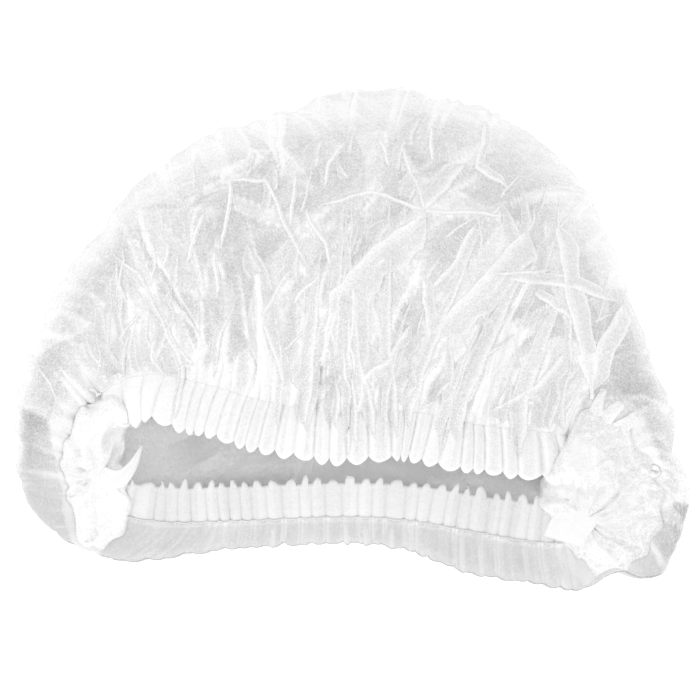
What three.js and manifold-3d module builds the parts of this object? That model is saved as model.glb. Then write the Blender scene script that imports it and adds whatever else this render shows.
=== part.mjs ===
// Disposable hair cover cap of pleated nonwoven cloth, lying on a flat surface with its mouth to the front.
// The crown is one puffed, hollow pouch of thin cloth. Its edge is gathered to a ring, the seam line. Inside
// that ring stand two hems, the folded edge of the cloth, each with a flat elastic in its pocket. The pleated
// strip that the cap is made from ends in a flat welded tab on the right and a curled, trimmed tail on the left.
// Millimetres. X runs to the right, Y to the back, Z up from the surface that the cap lies on.
import * as THREE from "three";
import { mergeVertices } from "three/addons/utils/BufferGeometryUtils.js";
import Module from "manifold-3d";

const wasm = await Module();
wasm.setup();

// Overall size of the puffed crown.
const CAP_WIDTH = 250;
const CAP_DEPTH = 180;
const CAP_HEIGHT = 93;
// How far the top of the crown is lifted above the line from seam to side, near the seam and near the side.
const PUFF_AT_SEAM = 26;
const PUFF_AT_SIDE = 14;

// Cloth, hem and elastic.
const CLOTH_WALL = 1.2;
const SEAM_GAP = 0.3;
const HEM_WIDTH = 17;
const HEM_WIDTH_AT_ENDS = 10;
const HEM_TAPER_LENGTH = 30;
const HEM_WALL = 1.1;
const ELASTIC_WIDTH = 5;
const ELASTIC_THICKNESS = 1;
const POCKET_CLEARANCE = 0.4;

// Gathers along the seam, and the folds that run on from them over the crown.
const GATHER_COUNT = 28;
const GATHER_DEPTH = 1.9;
const HEM_RUFFLE_DEPTH = 1.5;
const SCALLOP_DEPTH = 0.9;
const SIDE_RIPPLE_DEPTH = 1.3;
const SAMPLES_PER_GATHER = 4;

// The two ends of the pleated strip.
const END_CLEARANCE = 0.5;
const TAB_WIDTH = 12;
const TAB_LENGTH = 30;
const TAB_THICKNESS = 2.2;
const TAIL_WIDTH = 8;
const TAIL_LENGTH = 32;
const TAIL_THICKNESS = 1.8;

// Stations round the mouth, from the right end over the upper lip to the left end and back along the lower lip.
// seam is where the cloth is gathered to the hem, side is where the pouch is widest there. across is a share of
// half the width, back of the depth from the front, up of the height. upper is 1 on the upper lip, 0 on the lower.
const STATIONS = [
  // seam: across, back, up     side: across, back, up     upper
  [0.834, 0.183, 0.33, 0.992, 0.11, 0.3, 0.45],
  [0.75, 0.256, 0.47, 0.928, 0.361, 0.44, 0.8],
  [0.578, 0.275, 0.58, 0.834, 0.565, 0.5, 1],
  [0.384, 0.282, 0.65, 0.696, 0.801, 0.53, 1],
  [0.178, 0.304, 0.7, 0.444, 0.955, 0.55, 1],
  [-0.044, 0.301, 0.72, 0.118, 0.999, 0.56, 1],
  [-0.252, 0.326, 0.7, -0.207, 0.959, 0.56, 1],
  [-0.444, 0.372, 0.64, -0.474, 0.885, 0.54, 1],
  [-0.622, 0.402, 0.54, -0.704, 0.741, 0.51, 1],
  [-0.755, 0.368, 0.43, -0.93, 0.52, 0.45, 0.8],
  [-0.805, 0.271, 0.33, -0.994, 0.32, 0.35, 0.45],
  [-0.755, 0.164, 0.26, -0.958, 0.16, 0.22, 0.1],
  [-0.592, 0.134, 0.22, -0.726, 0.066, 0.13, 0],
  [-0.355, 0.134, 0.22, -0.37, 0.088, 0.11, 0],
  [0, 0.141, 0.23, 0, 0.1, 0.11, 0],
  [0.178, 0.133, 0.23, 0.178, 0.083, 0.11, 0],
  [0.355, 0.111, 0.23, 0.355, 0.036, 0.11, 0],
  [0.562, 0.086, 0.24, 0.58, 0.012, 0.12, 0],
  [0.66, 0.086, 0.25, 0.695, 0, 0.13, 0],
  [0.72, 0.092, 0.265, 0.79, 0.035, 0.15, 0.05],
  [0.785, 0.125, 0.295, 0.895, 0.02, 0.19, 0.2],
];
const LEFT_END_STATION = 10;

// Where the hems point from the seam: a line inside the mouth, as shares like the stations'.
const MOUTH_LEFT = -0.56;
const MOUTH_RIGHT = 0.5;
const UPPER_AIM = { back: 0.1, up: 0.58 };
const LOWER_AIM = { back: 0.26, up: 0.5 };

// The middle of the patch that the cap lies on.
const REST_POINT = { across: -0.02, back: 0.48 };
// How far in from the side the cloth meets the surface, as a share of the side's height there.
const REST_INSET = 0.7;

// Rows of the crown's mesh: shares of the way from the seam to the side, from the side down to the surface,
// and along the surface to the middle of the patch.
const ROWS_TO_SIDE = [0, 0.05, 0.13, 0.24, 0.37, 0.51, 0.65, 0.79, 0.91];
const ROWS_TO_REST = [0, 0.34, 0.68, 1];
const ROWS_TO_MIDDLE = [0.5];

// Main folds of the crown: at is the place round the mouth from 0 to 1, lean is how far it drifts round on its
// way to the side, from and to are shares of the way to the side, and depth is in shares of FOLD_DEPTH.
const FOLD_DEPTH = 5;
const FOLD_SPREAD = 0.018;
const FOLDS = [
  // at, lean, from, to, depth
  [0.05, 0.01, 0.1, 0.95, 0.8],
  [0.1, 0.02, 0.05, 0.8, -0.9],
  [0.155, 0.03, 0.05, 0.9, 1],
  [0.2, 0.02, 0.1, 0.7, -0.8],
  [0.25, 0.03, 0.05, 0.85, 0.9],
  [0.3, 0.0, 0.1, 0.75, -0.9],
  [0.345, -0.02, 0.05, 0.9, 0.9],
  [0.39, -0.02, 0.1, 0.7, -0.7],
  [0.43, -0.01, 0.1, 0.95, 0.8],
];

function at(across, back, up) {
  return new THREE.Vector3(
    (across * CAP_WIDTH) / 2,
    back * CAP_DEPTH,
    up * CAP_HEIGHT,
  );
}

function closedCurve(points) {
  const curve = new THREE.CatmullRomCurve3(points, true, "centripetal");
  curve.arcLengthDivisions = 600;
  return curve;
}

const seamCurve = closedCurve(STATIONS.map(([a, b, u]) => at(a, b, u)));
const sideCurve = closedCurve(
  STATIONS.map(([, , , a, b, u]) => at(a, b, u)),
);
const upperCurve = closedCurve(
  STATIONS.map(([, , , , , , w], i) => new THREE.Vector3(w, i, 0)),
);
const restPoint = at(REST_POINT.across, REST_POINT.back, 0);
const seamLength = seamCurve.getLength();
const UP = new THREE.Vector3(0, 0, 1);

// The share of the seam's length at a station's own parameter.
function lengthShareAt(station) {
  const lengths = seamCurve.getLengths();
  const place = (station / STATIONS.length) * (lengths.length - 1);
  const low = Math.floor(place);
  const mix = place - low;
  return (lengths[low] * (1 - mix) + lengths[low + 1] * mix) / seamLength;
}

const LEFT_END = lengthShareAt(LEFT_END_STATION);

function smooth(x) {
  const t = THREE.MathUtils.clamp(x, 0, 1);
  return t * t * (3 - 2 * t);
}

// A zigzag of height 1, the way cloth lies where an elastic gathers it. It turns at each crown sample.
function zigzag(place) {
  const x = place * GATHER_COUNT - Math.floor(place * GATHER_COUNT);
  if (x < 0.25) return x * 4;
  return x < 0.75 ? 2 - x * 4 : x * 4 - 4;
}

// Distance along the seam to the nearer end of the strip.
function distanceToEnd(place) {
  const p = place - Math.floor(place);
  const toRight = Math.min(p, 1 - p);
  return Math.min(toRight, Math.abs(p - LEFT_END)) * seamLength;
}

// The seam's own frame at a share of its length: along it, towards the free edge of the hem, and outwards.
function seamFrame(place) {
  const p = place - Math.floor(place);
  const u = seamCurve.getUtoTmapping(p);
  const step = 0.0015;
  const origin = seamCurve.getPoint(u);
  const along = seamCurve
    .getPoint((u + step) % 1)
    .sub(seamCurve.getPoint((u - step + 1) % 1))
    .normalize();
  const upper = THREE.MathUtils.clamp(upperCurve.getPoint(u).x, 0, 1);
  const aim = at(
    0,
    THREE.MathUtils.lerp(LOWER_AIM.back, UPPER_AIM.back, upper),
    THREE.MathUtils.lerp(LOWER_AIM.up, UPPER_AIM.up, upper),
  );
  aim.x = THREE.MathUtils.clamp(
    origin.x,
    (MOUTH_LEFT * CAP_WIDTH) / 2,
    (MOUTH_RIGHT * CAP_WIDTH) / 2,
  );
  const inward = aim.sub(origin);
  inward.addScaledVector(along, -inward.dot(along)).normalize();
  const outward = new THREE.Vector3().crossVectors(along, inward);
  return { u, origin, along, inward, outward, upper };
}

function bezier(a, b, c, d, t) {
  const s = 1 - t;
  return new THREE.Vector3()
    .addScaledVector(a, s * s * s)
    .addScaledVector(b, 3 * s * s * t)
    .addScaledVector(c, 3 * s * t * t)
    .addScaledVector(d, t * t * t);
}

// One line of the crown from the seam over the side and down to the surface, before its folds are laid in.
function meridian(place) {
  const frame = seamFrame(place);
  const start = frame.origin
    .clone()
    .addScaledVector(frame.inward, -SEAM_GAP / 2);
  const side = sideCurve.getPoint(frame.u);
  const reach = side.distanceTo(start);
  const leaving = start
    .clone()
    .addScaledVector(frame.inward, -0.36 * reach)
    .addScaledVector(UP, frame.upper * PUFF_AT_SEAM);
  const arriving = side
    .clone()
    .addScaledVector(UP, 0.3 * reach + frame.upper * PUFF_AT_SIDE);
  const towardsMiddle = restPoint.clone().sub(side).setZ(0).normalize();
  const inset = REST_INSET * side.z;
  const landing = side.clone().setZ(0).addScaledVector(towardsMiddle, inset);
  const falling = side.clone().addScaledVector(UP, -0.6 * side.z);
  const rolling = landing.clone().addScaledVector(towardsMiddle, -0.55 * inset);
  const line = ROWS_TO_SIDE.map((t) => bezier(start, leaving, arriving, side, t));
  ROWS_TO_REST.forEach((t) =>
    line.push(bezier(side, falling, rolling, landing, t)),
  );
  ROWS_TO_MIDDLE.forEach((t) => line.push(landing.clone().lerp(restPoint, t)));
  return line;
}

// How far the cloth stands out from the plain pouch: gathers at the seam, long folds on the top, and ripples
// where it turns over the side.
function relief(place, row) {
  const last = ROWS_TO_SIDE.length;
  if (row > last + 1) return 0;
  const way = row < last ? ROWS_TO_SIDE[row] : 1;
  const upper = seamFrame(place).upper;
  const gather =
    GATHER_DEPTH * zigzag(place) * (1 - 0.75 * smooth(way / 0.45));
  const ripple = SIDE_RIPPLE_DEPTH * zigzag(place * 0.5 + 0.1) * smooth(way / 0.6);
  const folds = FOLDS.reduce((sum, [where, lean, from, to, depth]) => {
    const off = (place - where - lean * way) / FOLD_SPREAD;
    const inside =
      smooth((way - from) / 0.15) * (1 - smooth((way - to + 0.2) / 0.2));
    return sum + depth * FOLD_DEPTH * inside * Math.max(0, 1 - Math.abs(off));
  }, 0);
  const easing = row > last ? 0.4 : 1;
  return easing * (gather + ripple + folds * upper);
}

function solidFrom(positions, triangles) {
  const geometry = new THREE.BufferGeometry();
  geometry.setAttribute(
    "position",
    new THREE.Float32BufferAttribute(positions, 3),
  );
  geometry.setIndex(triangles);
  return geometry;
}

// Triangles of a grid of rings of `count` points each, closed round, from ring to ring.
function bandTriangles(rings, count, triangles, first = 0, flipped = false) {
  for (let r = 0; r < rings - 1; r++) {
    for (let i = 0; i < count; i++) {
      const j = (i + 1) % count;
      const a = first + r * count + i;
      const b = first + r * count + j;
      const c = a + count;
      const d = b + count;
      if (flipped) triangles.push(a, b, d, a, d, c);
      else triangles.push(a, d, b, a, c, d);
    }
  }
}

function crownGeometry() {
  const count = GATHER_COUNT * SAMPLES_PER_GATHER;
  const lines = Array.from({ length: count }, (_, i) => meridian(i / count));
  const rows = lines[0].length;
  const plain = [];
  for (let r = 0; r < rows; r++) lines.forEach((line) => plain.push(line[r]));
  plain.push(restPoint.clone());
  const middle = plain.length - 1;
  const faces = [];
  bandTriangles(rows, count, faces);
  for (let i = 0; i < count; i++) {
    const base = (rows - 1) * count;
    faces.push(base + i, middle, base + ((i + 1) % count));
  }

  const outside = plain.map((p) => p.clone());
  const plainNormals = normalsOf(plain, faces);
  for (let r = 0; r < rows; r++) {
    for (let i = 0; i < count; i++) {
      const at_ = r * count + i;
      outside[at_].addScaledVector(plainNormals[at_], relief(i / count, r));
      outside[at_].z = Math.max(outside[at_].z, 0);
    }
  }
  // At the seam the cloth's edge is square to the hem, so both keep the same gap through their thickness.
  for (let i = 0; i < count; i++) {
    const frame = seamFrame(i / count);
    outside[i]
      .copy(plain[i])
      .addScaledVector(frame.outward, relief(i / count, 0) + CLOTH_WALL / 2);
  }
  const normals = normalsOf(outside, faces);
  for (let i = 0; i < count; i++) normals[i] = seamFrame(i / count).outward;
  const inside = outside.map((p, i) =>
    p.clone().addScaledVector(normals[i], -CLOTH_WALL),
  );
  for (let i = 0; i < inside.length; i++) {
    inside[i].z = Math.max(inside[i].z, CLOTH_WALL);
  }

  const positions = [...outside, ...inside].flatMap((p) => [p.x, p.y, p.z]);
  const shift = outside.length;
  const triangles = [...faces];
  for (let f = 0; f < faces.length; f += 3) {
    triangles.push(
      faces[f] + shift,
      faces[f + 2] + shift,
      faces[f + 1] + shift,
    );
  }
  for (let i = 0; i < count; i++) {
    const j = (i + 1) % count;
    triangles.push(i, j, j + shift, i, j + shift, i + shift);
  }
  return solidFrom(positions, triangles);
}

function normalsOf(points, faces) {
  const sums = points.map(() => new THREE.Vector3());
  const ab = new THREE.Vector3();
  const ac = new THREE.Vector3();
  for (let f = 0; f < faces.length; f += 3) {
    const [a, b, c] = [faces[f], faces[f + 1], faces[f + 2]];
    ab.subVectors(points[b], points[a]);
    ac.subVectors(points[c], points[a]);
    const normal = ab.cross(ac).clone();
    [a, b, c].forEach((v) => sums[v].add(normal));
  }
  return sums.map((n) => n.normalize());
}

// A closed solid through a list of sections, each with the same number of points, capped at both ends.
function loft(sections) {
  const size = sections[0].length;
  const positions = sections.flat().flatMap((p) => [p.x, p.y, p.z]);
  const triangles = [];
  bandTriangles(sections.length, size, triangles);
  const end = (sections.length - 1) * size;
  for (let i = 1; i < size - 1; i++) {
    triangles.push(0, i, i + 1);
    triangles.push(end, end + i + 1, end + i);
  }
  return solidFrom(positions, triangles);
}

function manifoldOf(geometry) {
  const merged = mergeVertices(geometry, 1e-4);
  const solid = new wasm.Manifold(
    new wasm.Mesh({
      numProp: 3,
      vertProperties: merged.attributes.position.array,
      triVerts: new Uint32Array(merged.index.array),
    }),
  );
  return solid;
}

function geometryOf(solid) {
  const mesh = solid.getMesh();
  return solidFrom(Array.from(mesh.vertProperties), Array.from(mesh.triVerts));
}

// Places along one hem: the crown's own samples, so that the hem's ruffles meet the crown's gathers.
function hemPlaces(from, to) {
  const count = GATHER_COUNT * SAMPLES_PER_GATHER;
  const first = Math.ceil(from * count);
  const last = Math.floor(to * count);
  return Array.from({ length: last - first + 1 }, (_, i) => (first + i) / count);
}

function hemWidthAt(place) {
  const endHalf = endHalfWidth(place);
  const fullness = smooth((distanceToEnd(place) - endHalf) / HEM_TAPER_LENGTH);
  return THREE.MathUtils.lerp(HEM_WIDTH_AT_ENDS, HEM_WIDTH, fullness);
}

// Half the room that the strip's end takes between the hems, at the nearer end.
function endHalfWidth(place) {
  const p = place - Math.floor(place);
  const rightIsNearer = Math.min(p, 1 - p) < Math.abs(p - LEFT_END);
  return (rightIsNearer ? TAB_WIDTH : TAIL_WIDTH) / 2 + END_CLEARANCE;
}

const POCKET_WIDTH = ELASTIC_WIDTH + 2 * POCKET_CLEARANCE;
const POCKET_HEIGHT = ELASTIC_THICKNESS + 2 * POCKET_CLEARANCE;
const HEM_THICKNESS = POCKET_HEIGHT + 2 * HEM_WALL;

function pointAt(frame, inward, outward) {
  return frame.origin
    .clone()
    .addScaledVector(frame.inward, inward)
    .addScaledVector(frame.outward, outward);
}

// The hem's section: folded cloth with a ruffled root and a scalloped free edge, flat where the elastic lies.
function hemSection(place) {
  const frame = seamFrame(place);
  const width = hemWidthAt(place);
  const root = SEAM_GAP / 2;
  const middle = root + width / 2;
  const flatHalf = POCKET_WIDTH / 2 + 0.5;
  const fullness = (width - flatHalf * 2) / (HEM_WIDTH - flatHalf * 2);
  const wave = zigzag(place) * fullness;
  const edge = root + width + SCALLOP_DEPTH * wave;
  const stops = [
    { inward: root, lift: GATHER_DEPTH * wave, half: HEM_THICKNESS / 4 },
    { inward: middle - flatHalf, lift: 0, half: HEM_THICKNESS / 2 },
    { inward: middle + flatHalf, lift: 0, half: HEM_THICKNESS / 2 },
    { inward: edge, lift: HEM_RUFFLE_DEPTH * wave, half: HEM_THICKNESS / 4 },
  ];
  const outer = stops.map((s) => pointAt(frame, s.inward, s.lift + s.half));
  const inner = stops.map((s) => pointAt(frame, s.inward, s.lift - s.half));
  return [...outer, ...inner.reverse()];
}

// A flat strip along the middle of the hem: the pocket, or the elastic in it.
function stripSection(place, width, height, along = 0) {
  const frame = seamFrame(place);
  const middle = SEAM_GAP / 2 + hemWidthAt(place) / 2;
  return [
    pointAt(frame, middle - width / 2, height / 2),
    pointAt(frame, middle + width / 2, height / 2),
    pointAt(frame, middle + width / 2, -height / 2),
    pointAt(frame, middle - width / 2, -height / 2),
  ].map((p) => p.addScaledVector(frame.along, along));
}

function hemGeometry(places) {
  const overrun = 1;
  const cloth = manifoldOf(loft(places.map(hemSection)));
  const last = places.length - 1;
  const pocket = places.map((place, i) => {
    const past = i === 0 ? -overrun : i === last ? overrun : 0;
    return stripSection(place, POCKET_WIDTH, POCKET_HEIGHT, past);
  });
  return clearOfEnds(cloth.subtract(manifoldOf(loft(pocket))));
}

function elasticGeometry(places) {
  const strip = loft(
    places.map((place) =>
      stripSection(place, ELASTIC_WIDTH, ELASTIC_THICKNESS),
    ),
  );
  return clearOfEnds(manifoldOf(strip));
}

// What lies along the mouth stops short of the two ends of the strip.
function clearOfEnds(solid) {
  const tab = manifoldOf(tabGeometry(END_CLEARANCE));
  const tail = manifoldOf(tailGeometry(END_CLEARANCE));
  const rest = solid.subtract(tab).subtract(tail).decompose();
  rest.sort((a, b) => b.volume() - a.volume());
  return geometryOf(rest[0]);
}

// How far the seam bends inwards over the width of a strip rooted in it.
function seamBow(place, width) {
  const frame = seamFrame(place);
  const steps = [-1, -0.75, -0.5, -0.25, 0.25, 0.5, 0.75, 1];
  return Math.max(
    0,
    ...steps.map((s) => {
      const p = seamFrame(place + (s * 0.6 * width) / seamLength).origin;
      return p.sub(frame.origin).dot(frame.inward);
    }),
  );
}

// A flat, bent strip through stops: each says how far it is from the seam along the inward and outward
// directions and along the seam, as shares of its length, and its width and thickness as shares of its own.
function endStrip(place, length, width, thickness, stops, margin = 0) {
  const frame = seamFrame(place);
  const root = SEAM_GAP + seamBow(place, width);
  const centre = (s) =>
    pointAt(frame, root + s.inward * length, s.outward * length)
      .addScaledVector(frame.along, s.along * length);
  return loft(
    stops.map((stop, i) => {
      const before = centre(stops[Math.max(i - 1, 0)]);
      const after = centre(stops[Math.min(i + 1, stops.length - 1)]);
      const heading = after.sub(before).normalize();
      const side = heading.clone().cross(frame.outward).normalize();
      const face = new THREE.Vector3().crossVectors(side, heading);
      const w = (stop.wide * width) / 2 + margin;
      const t = (stop.thick * thickness) / 2 + margin;
      const corner = (a, b) =>
        centre(stop).addScaledVector(side, a).addScaledVector(face, b);
      return [corner(-w, -t), corner(w, -t), corner(w, t), corner(-w, t)];
    }),
  );
}

function tabGeometry(margin = 0) {
  const stops = [
    { inward: 0, outward: 0, along: 0, wide: 1, thick: 1 },
    { inward: 0.1, outward: 0, along: 0, wide: 1, thick: 1 },
    { inward: 0.25, outward: 0.06, along: -0.04, wide: 1, thick: 1.1 },
    { inward: 0.45, outward: 0.13, along: -0.12, wide: 0.95, thick: 0.8 },
    { inward: 0.58, outward: 0.14, along: -0.16, wide: 1, thick: 1.1 },
    { inward: 0.98, outward: 0.12, along: -0.26, wide: 0.95, thick: 0.9 },
  ];
  return endStrip(0, TAB_LENGTH, TAB_WIDTH, TAB_THICKNESS, stops, margin);
}

function tailGeometry(margin = 0) {
  const stops = [
    { inward: 0, outward: 0, along: 0, wide: 1, thick: 1 },
    { inward: 0.1, outward: 0, along: 0, wide: 1, thick: 1 },
    { inward: 0.24, outward: 0.06, along: 0.05, wide: 1, thick: 1 },
    { inward: 0.4, outward: 0.14, along: 0.14, wide: 0.95, thick: 1 },
    { inward: 0.56, outward: 0.2, along: 0.2, wide: 0.8, thick: 1 },
    { inward: 0.72, outward: 0.24, along: 0.14, wide: 0.6, thick: 0.9 },
    { inward: 0.8, outward: 0.27, along: -0.02, wide: 0.3, thick: 0.8 },
  ];
  return endStrip(
    LEFT_END,
    TAIL_LENGTH,
    TAIL_WIDTH,
    TAIL_THICKNESS,
    stops,
    margin,
  );
}

const nonwoven = new THREE.MeshStandardMaterial({
  color: 0xe9ebec,
  roughness: 0.85,
  metalness: 0,
});
const gatheredNonwoven = new THREE.MeshStandardMaterial({
  color: 0xf6f7f7,
  roughness: 0.8,
  metalness: 0,
});
const elasticRubber = new THREE.MeshStandardMaterial({
  color: 0xf0efec,
  roughness: 0.6,
  metalness: 0,
});

function named(name, geometry, material) {
  const mesh = new THREE.Mesh(geometry, material);
  mesh.name = name;
  return mesh;
}

const rightEnd = endHalfWidth(0) / seamLength;
const leftEnd = endHalfWidth(LEFT_END) / seamLength;
const upperPlaces = hemPlaces(rightEnd, LEFT_END - leftEnd);
const lowerPlaces = hemPlaces(LEFT_END + leftEnd, 1 - rightEnd);

const cap = new THREE.Group();
cap.add(
  named("crown", crownGeometry(), nonwoven),
  named("upper_hem", hemGeometry(upperPlaces), gatheredNonwoven),
  named("lower_hem", hemGeometry(lowerPlaces), gatheredNonwoven),
  named("upper_elastic", elasticGeometry(upperPlaces), elasticRubber),
  named("lower_elastic", elasticGeometry(lowerPlaces), elasticRubber),
  named("right_end_tab", tabGeometry(), gatheredNonwoven),
  named("left_end_tail", tailGeometry(), gatheredNonwoven),
);

// The frame's origin is the middle of the cap's box, on the surface that it lies on.
const box = new THREE.Box3().setFromObject(cap);
const middle = box.getCenter(new THREE.Vector3());
cap.position.set(-middle.x, -middle.y, -box.min.z);

export default cap;
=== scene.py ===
# %% [markdown]
# # A disposable hair cover cap
#
# This lesson dresses the plain solids of a hair cover cap: a light pouch of white nonwoven cloth with gathered
# elastic hems along its mouth. The cloth is so thin that the layers behind show through it, so the looks rest
# on three things: folds with real shape, how much light each layer lets through, and soft light from above.
#
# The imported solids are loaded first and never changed. Every piece made here goes in the same frame, in metres.

# %% The frame
import math

import bpy
import numpy as np
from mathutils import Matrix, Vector
from mathutils.bvhtree import BVHTree
from mathutils.geometry import delaunay_2d_cdt


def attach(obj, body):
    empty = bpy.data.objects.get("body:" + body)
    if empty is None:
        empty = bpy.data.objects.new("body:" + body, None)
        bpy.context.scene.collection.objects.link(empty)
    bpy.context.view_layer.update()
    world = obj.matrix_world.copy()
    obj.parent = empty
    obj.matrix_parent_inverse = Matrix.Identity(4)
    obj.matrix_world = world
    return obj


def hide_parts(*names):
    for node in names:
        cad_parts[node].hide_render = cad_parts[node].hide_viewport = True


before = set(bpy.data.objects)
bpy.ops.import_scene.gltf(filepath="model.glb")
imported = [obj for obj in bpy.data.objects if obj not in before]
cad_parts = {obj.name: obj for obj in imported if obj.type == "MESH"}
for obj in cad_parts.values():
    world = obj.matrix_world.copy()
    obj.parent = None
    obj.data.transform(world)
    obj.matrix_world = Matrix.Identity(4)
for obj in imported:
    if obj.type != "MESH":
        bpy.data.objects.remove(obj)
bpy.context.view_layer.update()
MM = 0.001

# %% [markdown]
# ## The camera and the light
#
# The photograph looks down on the cap at about 75 degrees, from far off, so a long lens keeps the outline
# undistorted. Its ground is pure white and its shadows are faint: a bright, even sky and a broad lamp overhead.

# %% Camera and lights
VIEW_ELEVATION = math.radians(75)
PIXEL = 0.37 * MM
LENS = 200.0
AIM = Vector((-0.0004, -0.0084, 0.05))

TO_CAMERA = Vector((0, -math.cos(VIEW_ELEVATION), math.sin(VIEW_ELEVATION)))
IMAGE_UP = Vector((0, math.sin(VIEW_ELEVATION), math.cos(VIEW_ELEVATION)))


def add_object(name, data):
    obj = bpy.data.objects.new(name, data)
    bpy.context.scene.collection.objects.link(obj)
    return obj


camera = add_object("camera", bpy.data.cameras.new("camera"))
camera.data.lens = LENS
camera.data.sensor_width = 36
distance = 700 * PIXEL * LENS / 36
camera.location = AIM + TO_CAMERA * distance
camera.rotation_mode = "QUATERNION"
camera.rotation_quaternion = (-TO_CAMERA).to_track_quat("-Z", "Y")
camera.data.clip_start, camera.data.clip_end = 0.05, 20
bpy.context.scene.camera = camera


def area_light(name, place, size, watts):
    light = add_object(name, bpy.data.lights.new(name, "AREA"))
    light.data.shape = "DISK"
    light.data.size = size
    light.data.energy = watts
    light.location = place
    light.rotation_mode = "QUATERNION"
    light.rotation_quaternion = (-Vector(place)).to_track_quat("-Z", "Y")
    return light


area_light("overhead_light", (0.04, -0.37, 1.22), 0.35, 2.3)
area_light("side_light", (-0.9, -0.1, 0.8), 0.3, 0.9)

world = bpy.data.worlds.new("studio")
world.use_nodes = True
sky = world.node_tree.nodes["Background"]
sky.inputs["Color"].default_value = (1, 1, 1, 1)
sky.inputs["Strength"].default_value = 0.83
bpy.context.scene.world = world
bpy.context.scene.view_settings.view_transform = "Standard"
bpy.context.scene.view_settings.look = "None"
print("camera stands", round(distance, 3), "m off")

# %% [markdown]
# ## The floor
#
# A plain pale floor carries the cap. It is the stage and not part of the cap.

# %% Floor
bpy.ops.object.select_all(action="DESELECT")
bpy.ops.mesh.primitive_plane_add(size=6, location=(0, 0, -0.0002))
floor = bpy.context.object
floor.name = "floor"
floor_finish = bpy.data.materials.new("pale_floor")
floor_finish.use_nodes = True
floor_shader = floor_finish.node_tree.nodes["Principled BSDF"]
floor_shader.inputs["Base Color"].default_value = (0.96, 0.96, 0.96, 1)
floor_shader.inputs["Roughness"].default_value = 0.7
floor_shader.inputs["Emission Color"].default_value = (1, 1, 1, 1)
floor_shader.inputs["Emission Strength"].default_value = 0.5
floor_shader.inputs["Specular IOR Level"].default_value = 0.2
floor.data.materials.append(floor_finish)

# %% [markdown]
# ## The plan of the cap
#
# The cap is laid out as a tailor would mark it: stations round the mouth. At each one the seam says where
# the cloth is gathered to the hem, and the side says where the pouch is widest. These are the numbers that the
# solids were made from, so the cloth made here lies where the solids lie.

# %% Stations round the mouth
CAP_WIDTH, CAP_DEPTH, CAP_HEIGHT = 0.250, 0.180, 0.093
PUFF_AT_SEAM, PUFF_AT_SIDE = 0.026, 0.014
TO_FRAME = np.array([0.409, -90.58, 0.0]) * MM

STATIONS = np.array([
    # seam: across, back, up     side: across, back, up     upper
    [0.834, 0.183, 0.33, 0.992, 0.11, 0.3, 0.45],
    [0.75, 0.256, 0.47, 0.928, 0.361, 0.44, 0.8],
    [0.578, 0.275, 0.58, 0.834, 0.565, 0.5, 1],
    [0.384, 0.282, 0.65, 0.696, 0.801, 0.53, 1],
    [0.178, 0.304, 0.7, 0.444, 0.955, 0.55, 1],
    [-0.044, 0.301, 0.72, 0.118, 0.999, 0.56, 1],
    [-0.252, 0.326, 0.7, -0.207, 0.959, 0.56, 1],
    [-0.444, 0.372, 0.64, -0.474, 0.885, 0.54, 1],
    [-0.622, 0.402, 0.54, -0.704, 0.741, 0.51, 1],
    [-0.755, 0.368, 0.43, -0.93, 0.52, 0.45, 0.8],
    [-0.805, 0.271, 0.33, -0.994, 0.32, 0.35, 0.45],
    [-0.755, 0.164, 0.26, -0.958, 0.16, 0.22, 0.1],
    [-0.592, 0.134, 0.22, -0.726, 0.066, 0.13, 0],
    [-0.355, 0.134, 0.22, -0.37, 0.088, 0.11, 0],
    [0, 0.141, 0.23, 0, 0.1, 0.11, 0],
    [0.178, 0.133, 0.23, 0.178, 0.083, 0.11, 0],
    [0.355, 0.111, 0.23, 0.355, 0.036, 0.11, 0],
    [0.562, 0.086, 0.24, 0.58, 0.012, 0.12, 0],
    [0.66, 0.086, 0.25, 0.695, 0, 0.13, 0],
    [0.72, 0.092, 0.265, 0.79, 0.035, 0.15, 0.05],
    [0.785, 0.125, 0.295, 0.895, 0.02, 0.19, 0.2],
])
LEFT_END_STATION = 10
SCALE = np.array([CAP_WIDTH / 2, CAP_DEPTH, CAP_HEIGHT])


def smooth(x):
    x = np.clip(x, 0, 1)
    return x * x * (3 - 2 * x)


def unit(v):
    return v / np.maximum(np.linalg.norm(v, axis=-1, keepdims=True), 1e-12)


def closed_curve(points, per_span=60):
    """Points along a smooth closed curve through the given ones."""
    n, spans = len(points), []
    t = np.linspace(0, 1, per_span, endpoint=False)[:, None]
    for i in range(n):
        a, b, c, d = (points[(i + k) % n] for k in (-1, 0, 1, 2))
        p, q, r = (np.linalg.norm(v) ** 0.5 for v in (b - a, c - b, d - c))
        start = ((b - a) / p - (c - a) / (p + q) + (c - b) / q) * q
        end = ((c - b) / q - (d - b) / (q + r) + (d - c) / r) * q
        spans.append(
            b + start * t + (3 * (c - b) - 2 * start - end) * t**2
            + (2 * (b - c) + start + end) * t**3
        )
    return np.vstack(spans)


seam_points = closed_curve(STATIONS[:, 0:3] * SCALE) + TO_FRAME
side_points = closed_curve(STATIONS[:, 3:6] * SCALE) + TO_FRAME
SPANS = len(seam_points)
steps = np.linalg.norm(np.roll(seam_points, -1, axis=0) - seam_points, axis=1)
SEAM_LENGTH = steps.sum()
run = np.concatenate([[0], np.cumsum(steps)]) / SEAM_LENGTH
LEFT_END = run[LEFT_END_STATION * SPANS // len(STATIONS)]
print("the seam is", round(SEAM_LENGTH / MM), "mm round")


def along_curve(points, spot):
    """Points on a sampled closed curve at spots given as sample numbers."""
    low = np.floor(spot).astype(int)
    mix = (spot - low)[:, None]
    return points[low % SPANS] * (1 - mix) + points[(low + 1) % SPANS] * mix


# %% The seam's own directions
MOUTH_LEFT, MOUTH_RIGHT = -0.56, 0.5
UPPER_AIM, LOWER_AIM = (0.1, 0.58), (0.26, 0.5)


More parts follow.
